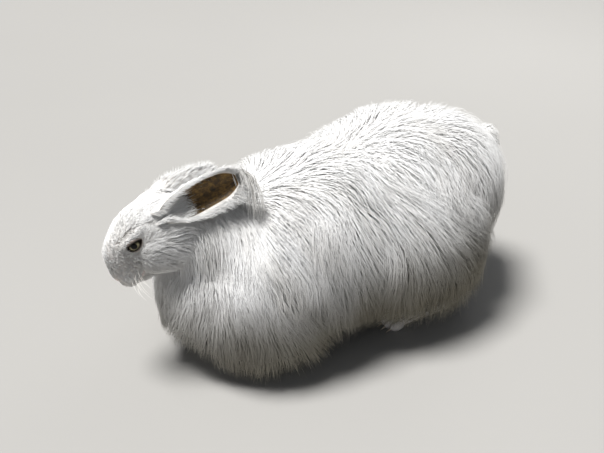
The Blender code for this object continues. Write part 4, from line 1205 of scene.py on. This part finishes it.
class RABBIT_OT_eyes(bpy.types.Operator):
    """Glassy eyes with a dark pupil in a pale ring, and lids round them"""

    bl_idname = "rabbit.eyes"
    bl_label = "Eyes"

    def execute(self, context):
        eye = context.scene.rabbit_eye
        glass = self.glass(eye)
        lids = self.lid_finish()
        for side, word in ((-1, "left"), (1, "right")):
            finish_piece(self.ball(side, f"eyeball_{word}"), glass, (f"eye_{word}",))
            finish_piece(self.lids(side, f"lids_{word}", eye), lids)
        return {"FINISHED"}

    def ball(self, side, name):
        """The eyeball: its radius is larger by 0.03 exp(-(polar / 0.62) ** 2) over the pupil, as a cornea."""
        centre, look, along, across = eye_frame(side)
        polar = np.linspace(0.004, pi - 0.004, 72)[:, None]
        radius = EYE_RADIUS * (1 + 0.030 * np.exp(-((polar / 0.62) ** 2)))
        made = closed_grid(name, centre + eye_ways(side, circle(72)[None, :], polar) * radius[..., None])
        offset = unit(read_points(made) - SHIFT - centre)
        set_number(made, "gaze", np.arccos(np.clip(offset @ look, -1, 1)) / pi)
        # Height across the opening, which the glass reads to paint the upper lid's shadow on the iris
        set_number(made, "high", offset @ across)
        set_number(made, "spoke", np.arctan2(offset @ across, offset @ along) / (2 * pi))
        return made

    def glass(self, eye):
        """Pupil, streaked iris and dark rim by the angle off the look, under a clear coat, with the upper
        lid's shadow painted on the iris.
        """
        made = Finish("eye_glass", (0.02, 0.02, 0.02), 0.03)
        gaze = made.attribute("gaze")
        spokes = made.node("CombineXYZ", {"X": made.attribute("spoke") * 46, "Y": gaze * 9})
        streak = made.noise(1.0, 2, spokes)
        iris = made.mix(made.between(streak, 0.3, 0.7), tuple(0.5 * c for c in eye.iris), eye.iris)
        iris = made.mix(made.between(gaze, 0.165, 0.215), iris, tuple(0.35 * c for c in eye.iris))
        # Painted shadow of the upper lid: the iris goes dark towards its top
        iris = made.mix(made.between(made.attribute("high"), -0.05, 0.30), iris, (0.030, 0.024, 0.016))
        ring = made.mix(made.between(gaze, 0.106, 0.122), (0.003, 0.003, 0.004), iris)
        rim = made.mix(made.between(gaze, 0.205, 0.235), ring, (0.014, 0.010, 0.008))
        made.put("Base Color", made.mix(made.between(gaze, 0.33, 0.36), rim, (0.10, 0.07, 0.06)))
        made.put("Specular IOR Level", 0.0)
        made.put("Coat Weight", 0.6)
        made.put("Coat Roughness", 0.02)
        made.put("Coat IOR", 1.33)
        return made.material

    def lids(self, side, name, eye):
        """Both lids as one ring round the eye: from the opening's edge outwards, and back underneath.

        Seen along the look the opening is an oval: |x / half_long| ** 1.75 + |y / half_high| ** 1.75 = 1. The
        reach from the eye's centre is the larger of the ball's radius with the lid's thickness and the head's
        own surface, with a rounded edge and two soft folds.
        """
        centre = eye_centre(side)
        angle = circle(96)[None, :]
        upper = np.clip(np.sin(angle), 0, 1)
        half_long = eye.opening / 2 / (EYE_RADIUS + eye.lid)
        half_high = eye.height / 2 / (EYE_RADIUS + eye.lid) * (1 - 0.12 * upper)
        power = 1.75
        inner = np.abs(np.cos(angle) / half_long) ** power + np.abs(np.sin(angle) / half_high) ** power
        inner = np.arcsin(np.clip(inner ** (-1 / power), 0, 0.98))
        share = np.linspace(0, 1, 26)[:, None]
        polar = inner + (radians(76) - inner) * np.clip(share - 0.16, 0, 1) / 0.84
        ways = unit(eye_ways(side, angle, polar))
        head = cast(head_field, np.broadcast_to(centre, ways.shape), ways, 0.04)
        head = np.linalg.norm(head - centre, axis=-1)
        over = EYE_RADIUS + 0.00015 + eye.lid * np.sqrt(1 - fade(0.22 - share, 0.22) ** 2)
        over = over + 0.0005 * upper * np.exp(-(((share - 0.36) / 0.09) ** 2))
        over = over - 0.0004 * np.exp(-(((share - 0.52) / 0.06) ** 2))
        blend = fade(share - 0.35, 0.45)
        reach = np.maximum(over, (head + 0.0002) * blend + over * (1 - blend))
        reach = reach - 0.0026 * fade(share - 0.86, 0.14) ** 2
        under = centre + ways[::-1] * (EYE_RADIUS + 0.0001 - 0.0008 * share)[..., None]
        rings = np.concatenate([centre + ways * reach[..., None], under[:-1]])
        count, turns = rings.shape[:2]
        j = np.arange(turns)
        k = (j + 1) % turns
        last = (count - 1) * turns
        back = np.stack([last + j, last + k, k, j], -1)
        made = put_mesh(name, rings.reshape(-1, 3), [grid_faces(count, turns), back])
        rim = np.zeros((count, turns))
        rim[: len(share)] = share
        set_number(made, "rim", rim)
        return made

    def lid_finish(self):
        """Lids that are dark at the opening's edge and pale where the fur begins."""
        made = Finish("lid_skin", (0.30, 0.24, 0.22), 0.5)
        rim = made.attribute("rim")
        dark = made.mix(made.between(rim, 0.14, 0.40), (0.020, 0.015, 0.012), (0.30, 0.25, 0.22))
        made.put("Base Color", made.mix(made.between(rim, 0.38, 0.66), dark, (0.80, 0.77, 0.74)))
        made.put("Roughness", 0.35 + rim * 0.3)
        made.bump(made.noise(1400, 3), 0.4, 0.0003)
        return made.material


class RABBIT_OT_ears(bpy.types.Operator):
    """Furled ears: brown leathery skin in the cup, white skin behind"""

    bl_idname = "rabbit.ears"
    bl_label = "Ears"

    def execute(self, context):
        skin = self.finish(context.scene.rabbit_ear)
        for side, word in ((-1, "left"), (1, "right")):
            finish_piece(self.shell(side, f"ear_shell_{word}"), skin, (f"ear_{word}",))
        return {"FINISHED"}

    def shell(self, side, name):
        """The ear's wall as rings: across the cup's inside, round one rim, over its back and round the other.

        Long ridges inside go as a cosine of the turn, and the rim waves gently with the share of the way up.
        """
        share = np.linspace(-0.10, 1.0, 64)[:, None]
        across = np.linspace(-1, 1, 41)
        bend = np.linspace(0, pi, 9)[1:-1]
        turns = np.concatenate([across, 1 + 0.05 * np.sin(bend), across[::-1], -1 - 0.05 * np.sin(bend)])
        walls = np.concatenate([np.zeros(41), (1 - np.cos(bend)) / 2, np.ones(41), (1 + np.cos(bend)) / 2])
        cup = fade(0.90 - np.abs(across), 0.16)
        inside = np.append(cup, np.zeros(len(turns) - len(cup)))
        ridge = 0.0009 * np.cos(turns * 3 * pi) * (1 - walls) * np.clip(1 - np.abs(turns), 0, 1) ** 0.5
        up = np.clip(share, 0, 1)
        wall = walls * EAR_WALL * (1 - 0.35 * up) + ridge * np.sin(pi * up)
        wave = 1 + 0.03 * np.sin(share * 17 + 1.0) * np.abs(turns) ** 3
        made = closed_grid(name, ear_point(side, share + 0 * turns, turns * wave, wall))
        set_number(made, "inside", np.append(inside * fade(1.01 - share, 0.03), (1.0, 0.0)))
        set_number(made, "round", np.append(np.tile(turns, len(share)), (0.0, 0.0)))
        set_number(made, "up", np.append(np.repeat(share[:, 0], len(turns)), (0.0, 1.0)))
        return made

    def finish(self, ear):
        """Blotched brown skin in the cup, darker at its root, and fair skin behind."""
        made = Finish("ear_skin", ear.inside, 0.5)
        up, turn = made.attribute("up"), made.attribute("round")
        length = made.node("CombineXYZ", {"X": up * 3.5, "Y": turn * 5.5})
        streak = made.noise(1.0, 4, length, 0.6)
        blotch = made.noise(210, 5, rough=0.68)
        tone = streak * 0.38 + blotch * 0.62
        brown = made.ramp(tone, [
            (0.36, ear.dark), (0.46, tuple(0.5 * c for c in ear.inside)), (0.54, ear.inside),
            (0.66, (0.42, 0.250, 0.055)),
        ])
        root = made.mix(made.between(up, 0.04, 0.34), ear.dark, brown)
        inside = made.between(made.attribute("inside"), 0.25, 0.75)
        made.put("Base Color", made.mix(inside, (0.84, 0.81, 0.77), root))
        made.put("Roughness", 0.36 + blotch * 0.3)
        made.bump(tone, 0.7, 0.0016)
        return made.material


class RABBIT_OT_long_coat(bpy.types.Operator):
    """The long silky coat of neck, trunk and tail, gathered in wisps that lie down the sides"""

    bl_idname = "rabbit.long_coat"
    bl_label = "Long coat"

    def execute(self, context):
        coat = context.scene.rabbit_coat
        draw = np.random.default_rng(coat.seed)
        hair = hair_finish("long_hair", coat, 0.55)
        surface = trunk_grid(trunk_field, 120, 140)
        self.wool(hair)
        roots, outs, spots = self.roots(surface, coat.strands // FEW, draw)
        centres, middles = self.wisps(surface, coat, draw)
        member = nearest(roots, centres)
        paths, facings = self.grow(roots, outs, coat, draw)
        count = len(roots)
        loose = draw.uniform(size=count) < LOOSE
        reach = np.where(loose, 0.04, draw.uniform(0.04, 0.32, count))
        share = along_path(COAT_STEPS) ** 1.2
        paths = paths + (middles[member] - paths) * (share * reach[:, None, None])
        paths = waves(paths, facings, coat.wave, 0.055, draw)
        lift = np.where(loose, draw.uniform(0.0, 0.003, count), 0)[:, None, None]
        paths = paths + facings * lift * share**2
        paths[..., 2] = np.maximum(paths[..., 2], LOWEST)
        # Tone rises towards each wisp's edge: painted shade between the wisps
        edge = np.linalg.norm(roots - centres[member], axis=-1) / WISP_RADIUS
        tones = self.tone(centres)[member] + 0.30 * (edge - 0.6) + draw.normal(0, 0.10, count)
        # Tone past 1 is painted shade in the coat's folds, where the relief dips behind the chest and under
        # the rump
        tones = np.clip(tones, 0, 1) + 0.9 * fade(0.86 - relief(roots), 0.30)
        widths = coat.width * draw.uniform(0.75, 1.2, count) * np.where(loose, 0.6, 1.0) * FEW**0.5
        coat_pieces("coat", paths, facings, widths, spots, tones, hair, ("torso", "neck"))
        self.tail(coat, hair, draw)
        return {"FINISHED"}

    def roots(self, surface, count, draw):
        """Roots clear of the head and above the hem, and fewer where the flesh faces down."""
        roots, outs, spots = sample(surface, count * 2, draw, TRUNK_PATCH)
        kept = (head_field(roots) > 0.001) & (roots[:, 2] > hem_height(roots) + 0.006)
        kept &= draw.uniform(size=len(roots)) < np.clip(1.25 + outs[:, 2] * 1.6, 0.12, 1)
        return [array[kept][:count] for array in (roots, outs, spots)]

    def wool(self, hair):
        """The dense down under the long hairs: one soft surface at under half of the coat's depth."""
        rings = trunk_grid(wool_field, 150, 150)
        made = closed_grid("wool", rings)
        set_number(made, "along", np.full(len(made.data.vertices), 0.6))
        set_number(made, "tone", np.full(len(made.data.vertices), 0.5))
        unwrap(made, *rings.shape[:2], TRUNK_PATCH)
        finish_piece(made, hair, ("torso", "neck"))

    def tone(self, centres):
        """How much warmer and darker each wisp is: noise, and more so towards the floor, partly soiling and
        partly painted shade.
        """
        low = fade(0.09 - centres[:, 2], 0.08)
        return np.clip(0.35 + 0.3 * swirl(centres, 0.03, 11) + 0.35 * low, 0, 1)

    def grow(self, roots, outs, coat, draw):
        """Each strand's own path, with its length, height and turn drawn round smooth values of the place."""
        lengths = coat.length * coat_length(roots, outs) * (1 + 0.12 * swirl(roots, 0.05, 3))
        lengths = lengths * draw.uniform(0.80, 1.08, len(roots))
        heights = relief(roots) * (1 - 0.42 * draw.uniform(size=len(roots)) ** 5)
        turns = self.turns(roots) + draw.normal(0, 0.13, (len(roots), 1))
        return hung_paths(roots, lengths, heights, turns, COAT_STEPS)

    def turns(self, points):
        """How far the lie is turned at each place, in radians: slow noise, and a little finer noise."""
        return (0.30 * swirl(points, 0.10, 5) + 0.12 * swirl(points, 0.035, 6))[:, None]

    def wisps(self, surface, coat, draw):
        """Roots and middle paths of the wisps, which lean to the middle paths of broad locks."""
        groups = []
        for count, spread in ((coat.wisps, 0.09), (coat.locks, 0.16)):
            centres, outs, _ = sample(surface, count, draw, TRUNK_PATCH)
            lengths = coat.length * coat_length(centres, outs) * draw.uniform(0.85, 1.10, count)
            heights = relief(centres) * draw.uniform(0.90, 1.03, count)
            turns = self.turns(centres) + draw.normal(0, spread, (count, 1))
            paths, facings = hung_paths(centres, lengths, heights, turns, COAT_STEPS)
            groups.append((centres, waves(paths, facings, coat.wave * 1.6, 0.09, draw)))
        (centres, paths), (locks, middles) = groups
        share = along_path(COAT_STEPS) ** 1.3
        return centres, paths + (middles[nearest(centres, locks)] - paths) * share * 0.34

    def tail(self, coat, hair, draw):
        """The tail's hair: it leaves the tail outwards, bends to its tip and then hangs back."""
        count = TAIL_HAIRS // FEW
        surface = tail_grid()
        roots, out, spots = sample(surface, count, draw, TAIL_PATCH)
        share = along_path(COAT_STEPS)
        lengths = (0.028 * draw.uniform(0.7, 1.15, count))[:, None, None]
        early = TAIL_WAY * 0.8 + out * 0.50
        late = TAIL_WAY * 0.40 + out * 0.10 + DOWN * 0.90
        way = unit(early[:, None] * (1 - share) + late[:, None] * share)
        paths = roots[:, None] + (np.cumsum(way, axis=1) - way[:, :1]) * lengths / (COAT_STEPS - 1)
        outs = unit(out[:, None] + np.cross(way, np.cross(out[:, None], way)))
        centres, _, _ = sample(surface, TAIL_WISPS, draw, TAIL_PATCH)
        paths = waves(gathered(paths, roots, centres, 0.5, 1.5), outs, coat.wave, 0.03, draw)
        widths = coat.width * 0.8 * draw.uniform(0.7, 1.2, count) * FEW**0.5
        tones = np.clip(draw.normal(0.4, 0.15, count), 0, 1)
        coat_pieces("tail_coat", paths, outs, widths, spots, tones, hair, ("tail",))


class RABBIT_OT_short_fur(bpy.types.Operator):
    """Short hair on the face, longer on cheeks and nape, and the fur of feet and ears"""

    bl_idname = "rabbit.short_fur"
    bl_label = "Short fur"

    def execute(self, context):
        coat, face, ear = context.scene.rabbit_coat, context.scene.rabbit_face, context.scene.rabbit_ear
        draw = np.random.default_rng(coat.seed + 1)
        hair = hair_finish("short_hair", coat, 0.6)
        self.face(face, hair, draw)
        self.feet(face, hair, draw)
        self.ears(ear, face, hair, draw)
        self.whiskers(face, draw)
        return {"FINISHED"}

    def face(self, face, hair, draw):
        """The head's fur: short on nose and brow, long on cheeks and jaw, and shorter beside the creases."""
        surface = head_grid(head_field, 150, 140)
        roots, outs, spots = sample(surface, face.strands // FEW, draw, HEAD_PATCH)
        kept = (trunk_field(roots) > -0.006) & self.clear_of_eyes(roots) & self.clear_of_nose(roots)
        roots, spots, outs = (array[kept] for array in (roots, spots, outs))
        count = len(roots)
        s, _, v = head_places(roots)
        cheek = fade(0.070 - s, 0.05)
        low = fade(0.004 - v, 0.02)
        jaw = fade(0.008 - v, 0.02) * fade(0.062 - s, 0.04)
        lengths = 0.0056 + face.length * cheek * (0.55 + 0.95 * low) + 0.010 * fade(0.022 - s, 0.02)
        lengths = lengths * np.clip(face_depth(roots) / 0.0036, 0.45, 1) + 0.022 * jaw
        lengths = lengths * (1 + 0.15 * swirl(roots, 0.02, 31)) * draw.uniform(0.75, 1.15, count)
        lengths = lengths * np.clip(from_creases(roots) / 0.006, 0.35, 1)
        heights = (1 + 0.16 * swirl(roots, 0.014, 33)) * np.sqrt(draw.uniform(0.40, 1.0, count))
        turns = (0.30 * swirl(roots, 0.03, 35) + 0.20 * swirl(roots, 0.01, 36))[:, None]
        paths, facings = coat_paths(FACE_COAT, roots - outs * 0.0003, lengths, heights, turns, SHORT_STEPS)
        centres = roots[draw.choice(count, min(FACE_WISPS, count // 4), replace=False)]
        paths = gathered(paths, roots, centres, 0.38, 1.4)
        paths = waves(paths, facings, 0.0009 * (1 + cheek.mean()), 0.012, draw)
        widths = face.width * (0.75 + 0.6 * cheek) * draw.uniform(0.8, 1.2, count) * FEW**0.5
        tones = np.clip(0.35 + 0.25 * swirl(roots, 0.03, 37) + draw.normal(0, 0.25, count), 0, 1)
        # Painted shade: hair facing down under muzzle and jaw, and hair in the brow folds, is darkened
        # through its tone
        under = fade(0.02 - outs[:, 2], 0.35) * fade(s - 0.030, 0.020)
        tones = tones + np.maximum(brow_fold(roots), 0.85 * under)
        coat_pieces("face_fur", paths, facings, widths, spots, tones, hair, ("head",), softness=0.55)

    def clear_of_eyes(self, points):
        """False inside each eye's ellipse, (x / long) ** 2 + (y / high) ** 2 < 1, on the looking side."""
        clear = np.ones(len(points), bool)
        for side in (-1, 1):
            centre, look, along, across = eye_frame(side)
            offset = points - centre
            inside = (offset @ along / BARE_EYE[0]) ** 2 + (offset @ across / BARE_EYE[1]) ** 2 < 1
            clear &= ~(inside & (offset @ look > 0))
        return clear

    def clear_of_nose(self, points):
        """False on the tip of the nose and in the grooves of mouth, cleft and nostrils."""
        clear = np.linalg.norm(points - NOSE_TIP, axis=-1) > BARE_NOSE
        return clear & (from_creases(points) > BARE_GROOVE)

    def feet(self, face, hair, draw):
        """Fur on the limbs: short towards the claws, longer and hanging on arms and shanks."""
        lowest = 0.0006 + 0.001 * (1 - np.linspace(0, 1, SHORT_STEPS))
        groups = []
        for rings, way, length in limbs():
            found = sample(rings, LIMB_HAIRS // FEW, draw, LEG_PATCH)
            kept = found[0][:, 2] > 0.003
            roots, outs, spots = (array[kept] for array in found)
            lengths = length * draw.uniform(0.6, 1.1, len(roots))
            ways = unit(way - outs * dot(way, outs) + outs * 0.30 + draw.normal(0, 0.08, outs.shape))
            paths = bent_paths(roots - outs * 0.0005, ways, lengths, outs * -0.14)
            paths[..., 2] = np.maximum(paths[..., 2], lowest)
            groups.append((paths, np.repeat(outs[:, None], SHORT_STEPS, 1), spots))
        paths, facings, spots = (np.concatenate(group) for group in zip(*groups))
        widths = face.width * draw.uniform(0.9, 1.3, len(paths)) * FEW**0.5
        tones = np.clip(draw.normal(0.60, 0.15, len(paths)), 0, 1)
        coat_pieces("foot_fur", paths, facings, widths, spots, tones, hair, LEG_NODES)

    def ears(self, ear, face, hair, draw):
        """Down on the back of each ear, a fringe along its rims, and the tuft that hangs from its tip."""
        short = []
        for side in (-1, 1):
            short.append(self.ear_down(side, ear.hairs // FEW, face, draw))
            short.append(self.ear_fringe(side, FRINGE_HAIRS // FEW, face, draw))
            short.append(self.ear_lining(side, LINING_HAIRS // FEW, face, draw))
        tufts = [self.ear_tuft(side, TUFT_HAIRS[side] // FEW, ear, face, draw) for side in (-1, 1)]
        nodes = ("ear_left", "ear_right")
        # The tufts' tone is raised by 0.7, partly into painted shade, as thin hair hanging in shade
        for name, groups, softness, shade in (("ear_fur", short, 0.55, 0.0), ("ear_tufts", tufts, 0.15, 0.7)):
            paths, outs, widths, spots = (np.concatenate(group) for group in zip(*groups))
            tones = np.clip(draw.normal(0.5, 0.35, len(paths)), 0, 1) + shade
            coat_pieces(name, paths, outs, widths, spots, tones, hair, nodes, softness=softness)

    def ear_hair(self, paths, outs, widths, side, share, turn):
        """Paths, outward ways, widths and places in the map of hairs at a share and turn of an ear."""
        left, bottom, wide, high = EAR_PATCH[side]
        spots = np.stack([left + wide * (turn + 1.1) / 2.2, bottom + high * np.clip(share, 0, 1)], -1)
        return paths, np.broadcast_to(outs, paths.shape), widths * FEW**0.5, spots

    def ear_down(self, side, count, face, draw):
        """Hair on the back of the ear: it leaves the wall by a third of its length and bends back to it."""
        _, along, across, _ = ear_frame(side)
        share, turn = draw.uniform(-0.12, 0.99, count), draw.uniform(-1.0, 1.0, count)
        roots = ear_point(side, share, turn, EAR_WALL * 0.7)
        outward = unit(ear_point(side, share, turn, EAR_WALL * 2) - ear_point(side, share, turn))
        lengths = draw.uniform(0.009, 0.015, count) * (1.1 - 0.3 * share)
        ways = unit(along + outward * 0.34 + across * draw.normal(0, 0.16, (count, 1)))
        paths = bent_paths(roots, ways, lengths, outward * -0.16)
        widths = face.width * draw.uniform(0.9, 1.4, count)
        return self.ear_hair(paths, outward[:, None], widths, side, share, turn)

    def ear_fringe(self, side, count, face, draw):
        """Hair along both rims: it leaves the edge outwards and sweeps to the tip, longest on the lower."""
        _, along, _, out = ear_frame(side)
        share = draw.uniform(-0.12, 0.99, count)
        edge = np.sign(draw.uniform(-1, 1, count))
        turn = edge * draw.uniform(0.86, 1.0, count)
        roots = ear_point(side, share, turn, EAR_WALL * draw.uniform(-0.1, 1.0, count))
        outward = unit(ear_point(side, share, turn * 1.08) - ear_point(side, share, turn * 0.92))
        lengths = draw.uniform(0.008, 0.017, count) * (1.0 - 0.15 * edge)
        spread = draw.uniform(0.20, 1.15, (count, 1))
        ways = unit(along + outward * spread + out * draw.normal(0.10, 0.18, (count, 1)))
        paths = bent_paths(roots, ways, lengths, DOWN * 0.16)
        widths = face.width * draw.uniform(0.8, 1.3, count)
        return self.ear_hair(paths, unit(out + outward * 0.6)[:, None], widths, side, share, turn)

    def ear_lining(self, side, count, face, draw):
        """Hair from the bottom of the cup that reaches towards its tip, in loose wisps."""
        _, along, _, out = ear_frame(side)
        share, turn = draw.uniform(-0.08, 0.20, count), draw.uniform(-0.9, 0.9, count)
        roots = ear_point(side, share, turn, -0.0004)
        wisp = draw.integers(0, LINING_WISPS, count)
        aside = draw.normal(0, 1, (LINING_WISPS, 3))[wisp] * 0.13 + draw.normal(0, 0.06, (count, 3))
        lengths = draw.uniform(0.010, 0.024, count)
        ways = unit(along + out * draw.uniform(0.10, 0.55, (count, 1)) + aside)
        paths = bent_paths(roots, ways, lengths, out * -0.18)
        widths = face.width * draw.uniform(0.8, 1.3, count)
        return self.ear_hair(paths, out, widths, side, share, turn)

    def ear_tuft(self, side, count, ear, face, draw):
        """Long hair from the upper rim and the tip: it sweeps back, arcs outwards and hangs.

        Each hair follows the guide, a smooth curve from the ear's tip, scaled by its length and moved aside.
        """
        size = 1.0 if side < 0 else 0.40
        share = 1.0 - 0.12 * draw.uniform(size=count) ** 1.3
        turn = draw.uniform(-0.60, 1.0, count)
        roots = ear_point(side, share, turn, EAR_WALL * 0.9)
        wisp = draw.integers(0, TUFT_WISPS, count)
        reach = np.random.default_rng(43).uniform(0.35, 1.05, TUFT_WISPS)[wisp]
        scale = size * ear.tuft * reach * draw.uniform(0.82, 1.05, count)
        guide = smooth_path(TUFT_GUIDE, TUFT_STEPS) * (1, side, 1)
        aside = np.random.default_rng(41).normal(0, 1, (TUFT_WISPS, 3))[wisp] * (0.12, 0.10, 0.07)
        aside = aside + draw.normal(0, 0.022, (count, 3))
        guide = guide[None] + aside[:, None] * along_path(TUFT_STEPS)
        paths = roots[:, None] + guide * scale[:, None, None]
        heading = np.gradient(paths, axis=1)
        outs = unit(np.cross(np.cross(heading, (0, side * 1.0, 0.5)), heading))
        paths = waves(paths, outs, 0.0014, 0.03, draw)
        widths = face.width * draw.uniform(0.8, 1.35, count)
        return self.ear_hair(paths, outs, widths, side, share, turn)

    def whiskers(self, face, draw):
        """Whiskers in three rows on each side of the upper lip: thin, stiff and swept back."""
        mark = np.linspace(0, 1, 6)[:, None]
        paths = []
        for side in (-1, 1):
            for i in range(face.whiskers):
                row = i % 3
                start = head_point(0.080 + 0.004 * row - 0.0012 * i, 0, -0.004 - 0.0028 * row)
                way = unit(HEAD_LAT * side + FORWARD * 0.1 - HEAD_UP * 0.10 * row)
                root = cast(head_field, start[None], way[None], 0.05)[0] - way * 0.0005
                length = face.whisker * (1 - 0.45 * abs(i / face.whiskers - 0.5))
                sweep = unit(HEAD_LAT * side + FORWARD * 0.15 + HEAD_UP * draw.normal(0, 0.12))
                droop = (DOWN * 0.25 - FORWARD * 0.5) * length * mark**2 * 0.6
                paths.append(root + sweep * length * mark + droop)
        paths = np.array(paths)
        count = len(paths)
        outs = np.broadcast_to(HEAD_UP, paths.shape)
        spots = np.array(HEAD_PATCH[:2]) + draw.uniform(0, 0.01, (count, 2))
        widths = np.full(count, WHISKER_WIDTH)
        made = strands("whiskers", paths, outs, widths, spots, np.zeros(count), 0.8, 0.2, 0.6)
        bristle = Finish("whisker", (0.88, 0.87, 0.84), 0.35)
        pale = bristle.mix(bristle.attribute("along"), (0.70, 0.66, 0.60), (0.93, 0.92, 0.90))
        bristle.put("Base Color", pale)
        finish_piece(made, bristle.material)


class RABBIT_OT_studio(bpy.types.Operator):
    """Pale floor, soft overhead light and the camera at the photograph's angle"""

    bl_idname = "rabbit.studio"
    bl_label = "Studio"

    def execute(self, context):
        scene, studio = context.scene, context.scene.rabbit_studio
        self.floor()
        target = np.array((0.0, 0.0, 0.10)) + SHIFT
        a, e = radians(studio.azimuth), radians(studio.elevation)
        back = np.array((sin(a) * cos(e), -cos(a) * cos(e), sin(e)))
        camera = self.aimed("camera", bpy.data.cameras.new("camera"), back * studio.distance, target)
        camera.data.lens, camera.data.sensor_width = studio.lens, 36.0
        camera.data.shift_y = LENS_SHIFT
        camera.data.clip_start = 0.01
        scene.camera = camera
        key = self.light("key", "SUN", (-0.32, 0.12, 1.15), target, studio.key, (1.0, 0.992, 0.98))
        key.angle = radians(20)
        fill = self.light("fill", "AREA", (-0.75, -0.95, 0.90), target, studio.key * 0.10, (0.93, 0.96, 1.0))
        rim = self.light("rim", "AREA", (0.9, 0.6, 0.60), target, studio.key * 0.30, (1.0, 1.0, 1.0))
        fill.size = rim.size = 0.65
        world = bpy.data.worlds.new("studio")
        world.use_nodes = True
        sky = world.node_tree.nodes["Background"]
        sky.inputs[0].default_value = (0.80, 0.84, 0.90, 1)
        sky.inputs[1].default_value = 0.17
        scene.world = world
        scene.view_settings.view_transform = "Standard"
        return {"FINISHED"}

    def floor(self):
        """A flat square as a grid of points, big enough to fill every view."""
        line = np.linspace(-FLOOR_REACH, FLOOR_REACH, 3)
        x, y = np.meshgrid(line, line, indexing="ij")
        points = np.stack([x, y, 0 * x], -1).reshape(-1, 3)
        i, j = np.meshgrid(np.arange(2), np.arange(2), indexing="ij")
        corner = (i * 3 + j).ravel()
        faces = np.stack([corner, corner + 3, corner + 4, corner + 1], -1)
        mesh = bpy.data.meshes.new("floor")
        mesh.from_pydata(points.tolist(), [], faces.tolist())
        pale = Finish("floor", (0.36, 0.352, 0.337), 0.8)
        pale.put("Base Color", pale.mix(pale.noise(1.5, 2), (0.345, 0.337, 0.322), (0.375, 0.367, 0.352)))
        mesh.materials.append(pale.material)
        put_object("floor", mesh)

    def aimed(self, name, data, offset, target):
        """An object at an offset from the target, which looks at it."""
        made = put_object(name, data)
        made.location = target + offset
        made.rotation_mode = "QUATERNION"
        made.rotation_quaternion = Vector(-np.array(offset)).to_track_quat("-Z", "Y")
        return made

    def light(self, name, kind, offset, target, power, colour):
        """A lamp that looks at the target."""
        lamp = bpy.data.lights.new(name, kind)
        lamp.energy, lamp.color = power, colour
        self.aimed(name, lamp, offset, target)
        return lamp


class RABBIT_PT_panel(bpy.types.Panel):
    """Lists the rabbit's pieces and their settings"""

    bl_idname = "RABBIT_PT_panel"
    bl_label = "Angora Rabbit"
    bl_space_type = "VIEW_3D"
    bl_region_type = "UI"
    bl_category = "Rabbit"

    def draw(self, context):
        for name, (_, steps) in GROUPS.items():
            box = self.layout.box()
            group = getattr(context.scene, name)
            for key in group.__annotations__:
                box.prop(group, key)
            for step in steps:
                box.operator(step)


GROUPS = {
    "rabbit_face": (RABBIT_PG_face, ("rabbit.skin",)),
    "rabbit_eye": (RABBIT_PG_eye, ("rabbit.eyes",)),
    "rabbit_ear": (RABBIT_PG_ear, ("rabbit.ears",)),
    "rabbit_coat": (RABBIT_PG_coat, ("rabbit.long_coat", "rabbit.short_fur")),
    "rabbit_studio": (RABBIT_PG_studio, ("rabbit.studio",)),
}
CLASSES = (
    *(group for group, _ in GROUPS.values()), RABBIT_OT_skin, RABBIT_OT_eyes, RABBIT_OT_ears,
    RABBIT_OT_long_coat, RABBIT_OT_short_fur, RABBIT_OT_studio, RABBIT_PT_panel,
)


def register():
    for cls in CLASSES:
        bpy.utils.register_class(cls)
    for name, (group, _) in GROUPS.items():
        setattr(bpy.types.Scene, name, PointerProperty(type=group))


def unregister():
    for name in GROUPS:
        delattr(bpy.types.Scene, name)
    for cls in reversed(CLASSES):
        bpy.utils.unregister_class(cls)


def main():
    """Makes every piece and the stage."""
    register()
    bpy.ops.rabbit.skin()
    bpy.ops.rabbit.eyes()
    bpy.ops.rabbit.ears()
    bpy.ops.rabbit.long_coat()
    bpy.ops.rabbit.short_fur()
    bpy.ops.rabbit.studio()


if __name__ == "__main__":
    main()
